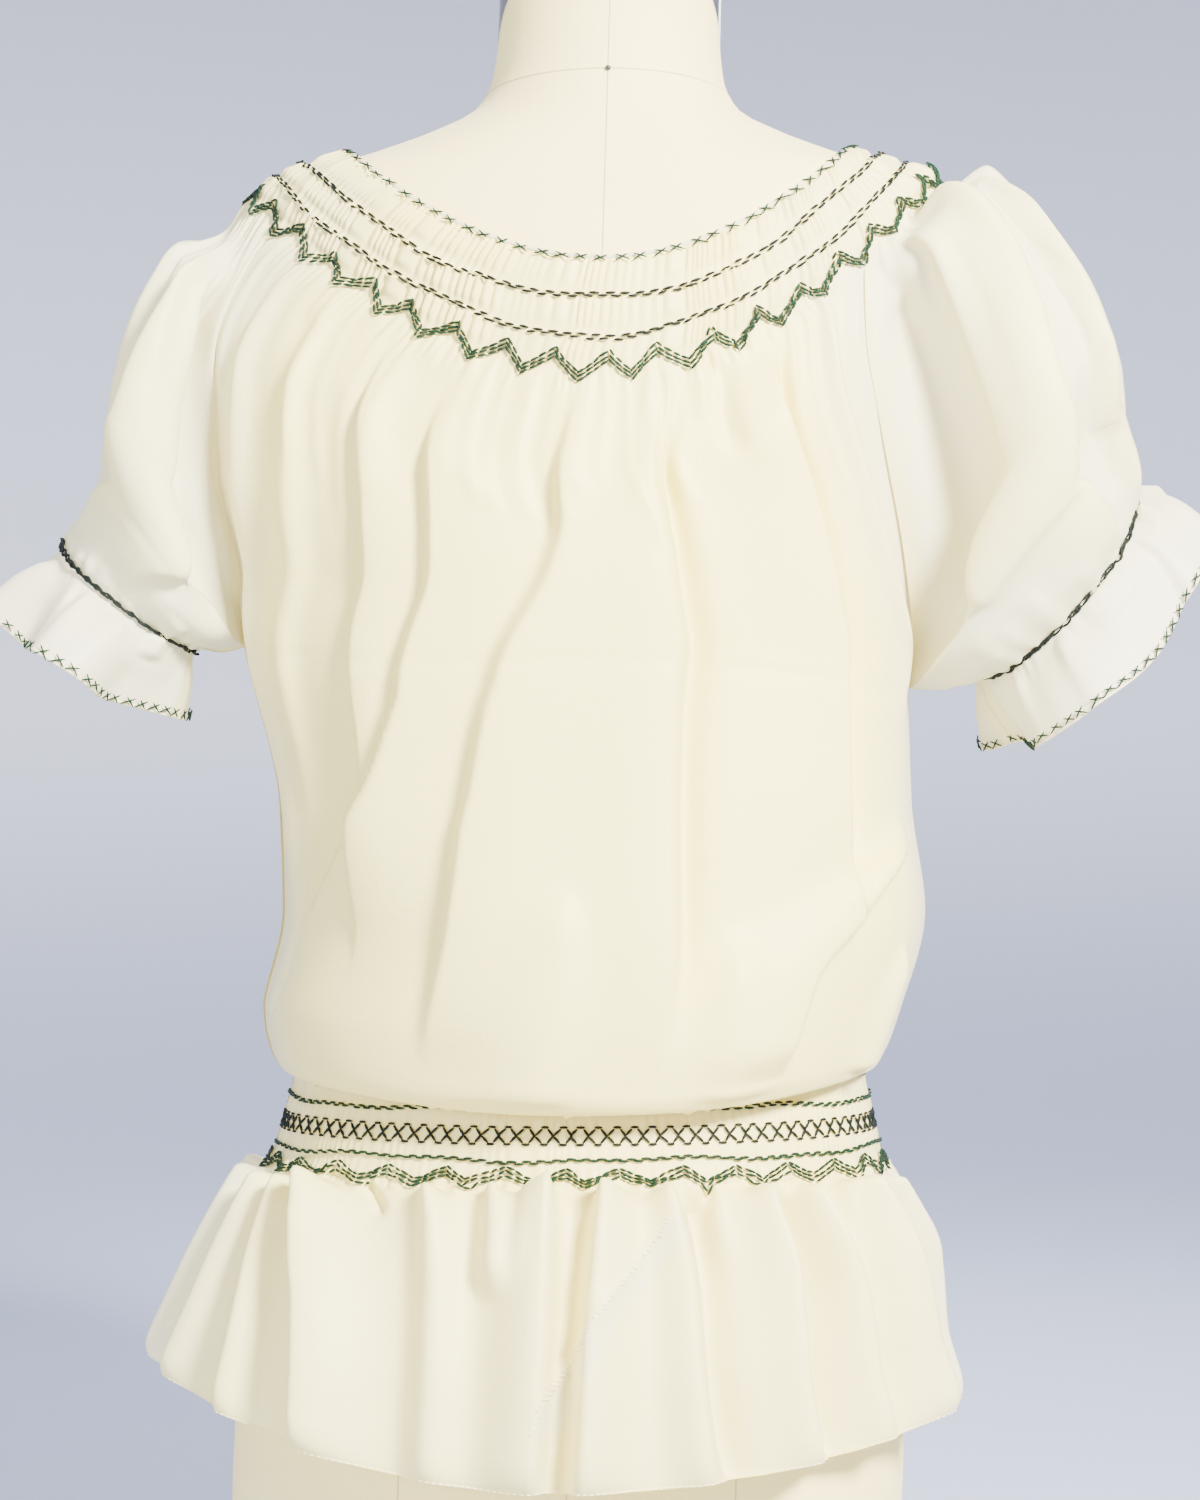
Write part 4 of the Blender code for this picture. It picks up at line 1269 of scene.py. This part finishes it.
def linen_material():
    """Plain-woven linen: matt, with slubs along both yarns and slightly uneven colour."""
    made, tree, output = blank_material("natural_linen")
    place = node(tree, "ShaderNodeTexCoord").outputs["Object"]
    waves = [
        node(tree, "ShaderNodeTexWave", [("Vector", place), ("Scale", 1 / 0.0009 / BANDS),
                                         ("Distortion", 1.2)], bands_direction=axis)
        for axis in ("X", "Z")
    ]
    weave = node(tree, "ShaderNodeMath", [(0, waves[0].outputs["Fac"]),
                                          (1, waves[1].outputs["Fac"])])
    cloud = node(tree, "ShaderNodeTexNoise", [("Vector", place), ("Scale", 14), ("Detail", 5)])
    tone = node(tree, "ShaderNodeMix", [(0, cloud.outputs["Fac"]), (6, linear(LINEN)),
                                        (7, linear(LINEN_DARK))], data_type="RGBA")
    bump = node(tree, "ShaderNodeBump", [("Height", weave.outputs[0]), ("Strength", 0.3),
                                         ("Distance", 0.0001)])
    shader = node(
        tree, "ShaderNodeBsdfPrincipled",
        [("Base Color", tone.outputs[2]), ("Roughness", 0.85), ("IOR", 1.5),
         ("Sheen Weight", 0.15), ("Normal", bump.outputs[0])],
    )
    tree.links.new(shader.outputs[0], output.inputs["Surface"])
    return made


linen = linen_material()


def form_place(turn, height):
    return middle(height) + form_radius(turn, height)[:, None] * round_out(
        turn, np.ones_like(turn), np.ones_like(turn)
    )


def linen_height(turn, level):
    """Levels rise towards the back and front of the neck, where the cover's edge is a saddle."""
    return level + NECK_ARCH * np.abs(np.sin(turn)) * smooth_step((level - 0.69) / 0.038)


FORM_SIDES, FORM_RINGS = 128, 190
levels = np.linspace(0, NECK_SIDE, FORM_RINGS)
bm = bmesh.new()
bmesh.ops.create_uvsphere(bm, u_segments=FORM_SIDES, v_segments=FORM_RINGS + 1, radius=1)
ball = np.array([vert.co[:] for vert in bm.verts])
ring = np.rint((FORM_RINGS + 1) * (1 - np.arccos(np.clip(ball[:, 2], -1, 1)) / math.pi))
spin = np.arctan2(ball[:, 1], ball[:, 0])
height = linen_height(spin, levels[np.clip(ring.astype(int) - 1, 0, FORM_RINGS - 1)])
placed = form_place(spin, height)
placed[ring == 0] = middle(np.array([0.0]))
placed[ring == FORM_RINGS + 1] = middle(np.array([NECK_SIDE + NECK_ARCH / 2]))
for vert, place in zip(bm.verts, placed):
    vert.co = Vector(place)
cover = keep("linen_cover_of_form", bm, linen)

seam_thread = thread_material("linen_seam", "#B9A67E", "#CDBB92")
SEAM = 0.0003
seam_lines = []
for turned in (-90, 90, -128, -52, 128, 52):
    top = 0.775 if abs(turned) == 90 else 0.600
    rise = np.linspace(0.002, top, 300)
    path = form_place(np.full(300, math.radians(turned)), rise)
    seam_lines.append(roll(f"form_seam_{turned % 360}", path, SEAM, False, seam_thread))
neck_seam_turn = np.linspace(0, math.tau, 241)
path = form_place(neck_seam_turn, 0.7045 + 0.0062 * np.abs(np.sin(neck_seam_turn)))
path[-1] = path[0]
seam_lines.append(roll("form_neck_seam", path, SEAM, True, seam_thread))

# %% [markdown]
# The cap is stamped steel with dark blue-grey enamel: hard, glossy and nearly black. A pin with an
# enamelled head of the same colour marks where the neck seam crosses the middle of the back.

# %% Cap and pin
enamel, tree, output = blank_material("dark_enamel")
place = node(tree, "ShaderNodeTexCoord").outputs["Object"]
wear = node(tree, "ShaderNodeTexNoise", [("Vector", place), ("Scale", 60), ("Detail", 4)])
rough = node(tree, "ShaderNodeMapRange", [("Value", wear.outputs["Fac"]), (3, 0.22), (4, 0.42)])
shader = node(tree, "ShaderNodeBsdfPrincipled",
              [("Base Color", linear("#262B33")), ("Roughness", rough.outputs[0]), ("IOR", 1.5),
               ("Coat Weight", 0.3), ("Coat Roughness", 0.1)])
tree.links.new(shader.outputs[0], output.inputs["Surface"])
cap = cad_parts["form_neck_cap"]
cap.data.materials.clear()
cap.data.materials.append(enamel)

bm = bmesh.new()
bmesh.ops.create_uvsphere(bm, u_segments=12, v_segments=8, radius=0.0013)
spot = form_place(np.array([-math.pi / 2]), np.array([0.7107]))[0]
bmesh.ops.translate(bm, verts=bm.verts, vec=Vector(spot) + Vector((0.0, -0.0008, 0)))
pin = keep("seam_pin", bm, enamel)

# %% [markdown]
# ## What each piece stands for
# The four sheets take the place of the four cloth walls, and the cover that of the torso. All
# pieces ride on the one body. The cut of each sheet is stated too. Its size was chosen to agree
# with the area of the made sheet, so it isn't a measure of how much silk a real one takes.

# %% Pieces, and the CAD parts they hide
rolls = [neck_roll, *ruffle_rolls]
threads = [smocking_dark, smocking_green, cross_stitches, hem_stitches]
left_sleeve, right_sleeve = sleeves["left"][0], sleeves["right"][0]
everything = [back, front, left_sleeve, right_sleeve, cover, pin, *rolls, *threads, *seam_lines]
for piece in everything:
    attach(piece, "root")
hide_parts("blouse_back")
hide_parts("blouse_front")
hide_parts("sleeve_left")
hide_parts("sleeve_right")
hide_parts("form_torso")
print(len(everything), "pieces")

# %% [markdown]
# ## The studio
# A seamless pale backdrop is one bowl: a floor that curves up into a wall all round, so that it
# fills the view from every side. Its colour is painted by height as light and shade: blue-grey on
# the floor, which the lamps light strongly, near white where it starts to rise, and grey above.
# One lamp stands high on the right, a weaker and wider one on the left, one behind, and the sky
# above the bowl fills in the shadows.

# %% Backdrop, lamps and camera
BOWL_RADIUS = 7.0
BOWL_HEIGHT = 8.0
COVE = 5.5  # the floor turns up into the wall over this radius
COVE_STEPS = 24
made, tree, output = blank_material("backdrop_paper")
place = node(tree, "ShaderNodeTexCoord").outputs["Object"]
rise = node(tree, "ShaderNodeSeparateXYZ", [(0, place)]).outputs["Z"]
# Painted light and shade by height: darker on the floor, which the lamps light strongly, near white at
# the foot of the wall, greyer above.
tone = linear("#A6AEC8")
for low, high, paper_with_painted_light in ((0.0, 0.5, "#EFF3FF"), (0.8, 2.6, "#C9CAD2")):
    fade = node(tree, "ShaderNodeMapRange", [("Value", rise), (1, low), (2, high)],
                interpolation_type="SMOOTHSTEP")
    tone = node(tree, "ShaderNodeMix", [(0, fade.outputs[0]), (6, tone), (7, linear(paper_with_painted_light))],
                data_type="RGBA").outputs[2]
shader = node(tree, "ShaderNodeBsdfPrincipled",
              [("Base Color", tone), ("Roughness", 0.9)])
tree.links.new(shader.outputs[0], output.inputs["Surface"])
bm = bmesh.new()
bmesh.ops.create_circle(bm, cap_ends=False, segments=96, radius=BOWL_RADIUS)
edges = list(bm.edges)
for i in range(1, COVE_STEPS + 1):
    ring_edges = bmesh.ops.extrude_edge_only(bm, edges=edges)["geom"]
    verts = [g for g in ring_edges if isinstance(g, bmesh.types.BMVert)]
    edges = [g for g in ring_edges if isinstance(g, bmesh.types.BMEdge)]
    angle = math.pi / 2 * i / COVE_STEPS
    out = BOWL_RADIUS - COVE * (1 - math.cos(angle))
    drop = COVE - COVE * math.sin(angle)
    for vert in verts:
        flat = Vector((vert.co.x, vert.co.y, 0)).normalized() * out
        vert.co = (flat.x, flat.y, drop)
bmesh.ops.contextual_create(bm, geom=edges)
top = [e for e in bm.edges if e.is_boundary]
wall = bmesh.ops.extrude_edge_only(bm, edges=top)["geom"]
rim = [g for g in wall if isinstance(g, bmesh.types.BMVert)]
for vert in rim:
    vert.co.z = BOWL_HEIGHT
for vert in bm.verts:
    if vert not in rim and abs(math.hypot(vert.co.x, vert.co.y) - BOWL_RADIUS) < 0.01:
        vert.co.z = COVE
bmesh.ops.recalc_face_normals(bm, faces=bm.faces)
bmesh.ops.reverse_faces(bm, faces=bm.faces)
backdrop = keep("backdrop", bm, made)

AIM = Vector((0.01, 0, 0.42))
for name, place, size, power, colour in (
    ("key", (1.25, -1.9, 1.55), 0.6, 84, "#FFFCF4"),
    ("fill", (-1.6, -2.1, 0.7), 1.2, 15, "#FFFFFF"),
    ("rim", (0.4, 2.2, 1.6), 1.2, 14, "#FFFFFF"),
):
    light = bpy.data.lights.new(name, "AREA")
    light.shape = "DISK"
    light.size = size
    light.energy = power
    light.color = linear(colour)[:3]
    light.spread = math.radians(80)
    lamp = bpy.data.objects.new(name, light)
    lamp.location = place
    lamp.rotation_euler = (AIM - Vector(place)).to_track_quat("-Z", "Y").to_euler()
    lamp.visible_camera = False
    bpy.context.scene.collection.objects.link(lamp)

world = bpy.data.worlds.new("sky")
bpy.context.scene.world = world
world.use_nodes = True
sky = world.node_tree.nodes["Background"]
sky.inputs["Color"].default_value = linear("#EEF2FF")
sky.inputs["Strength"].default_value = 2.0

CAMERA_DISTANCE = 1.95
CAMERA_HEIGHT = 0.40
LENS = 99.7
camera = bpy.data.cameras.new("camera")
camera.lens = LENS
camera.sensor_width = 36
camera.clip_end = 60
view = bpy.data.objects.new("camera", camera)
view.location = (0.0168, -CAMERA_DISTANCE, CAMERA_HEIGHT)
view.rotation_euler = (math.pi / 2, 0, 0)
bpy.context.scene.collection.objects.link(view)
bpy.context.scene.camera = view
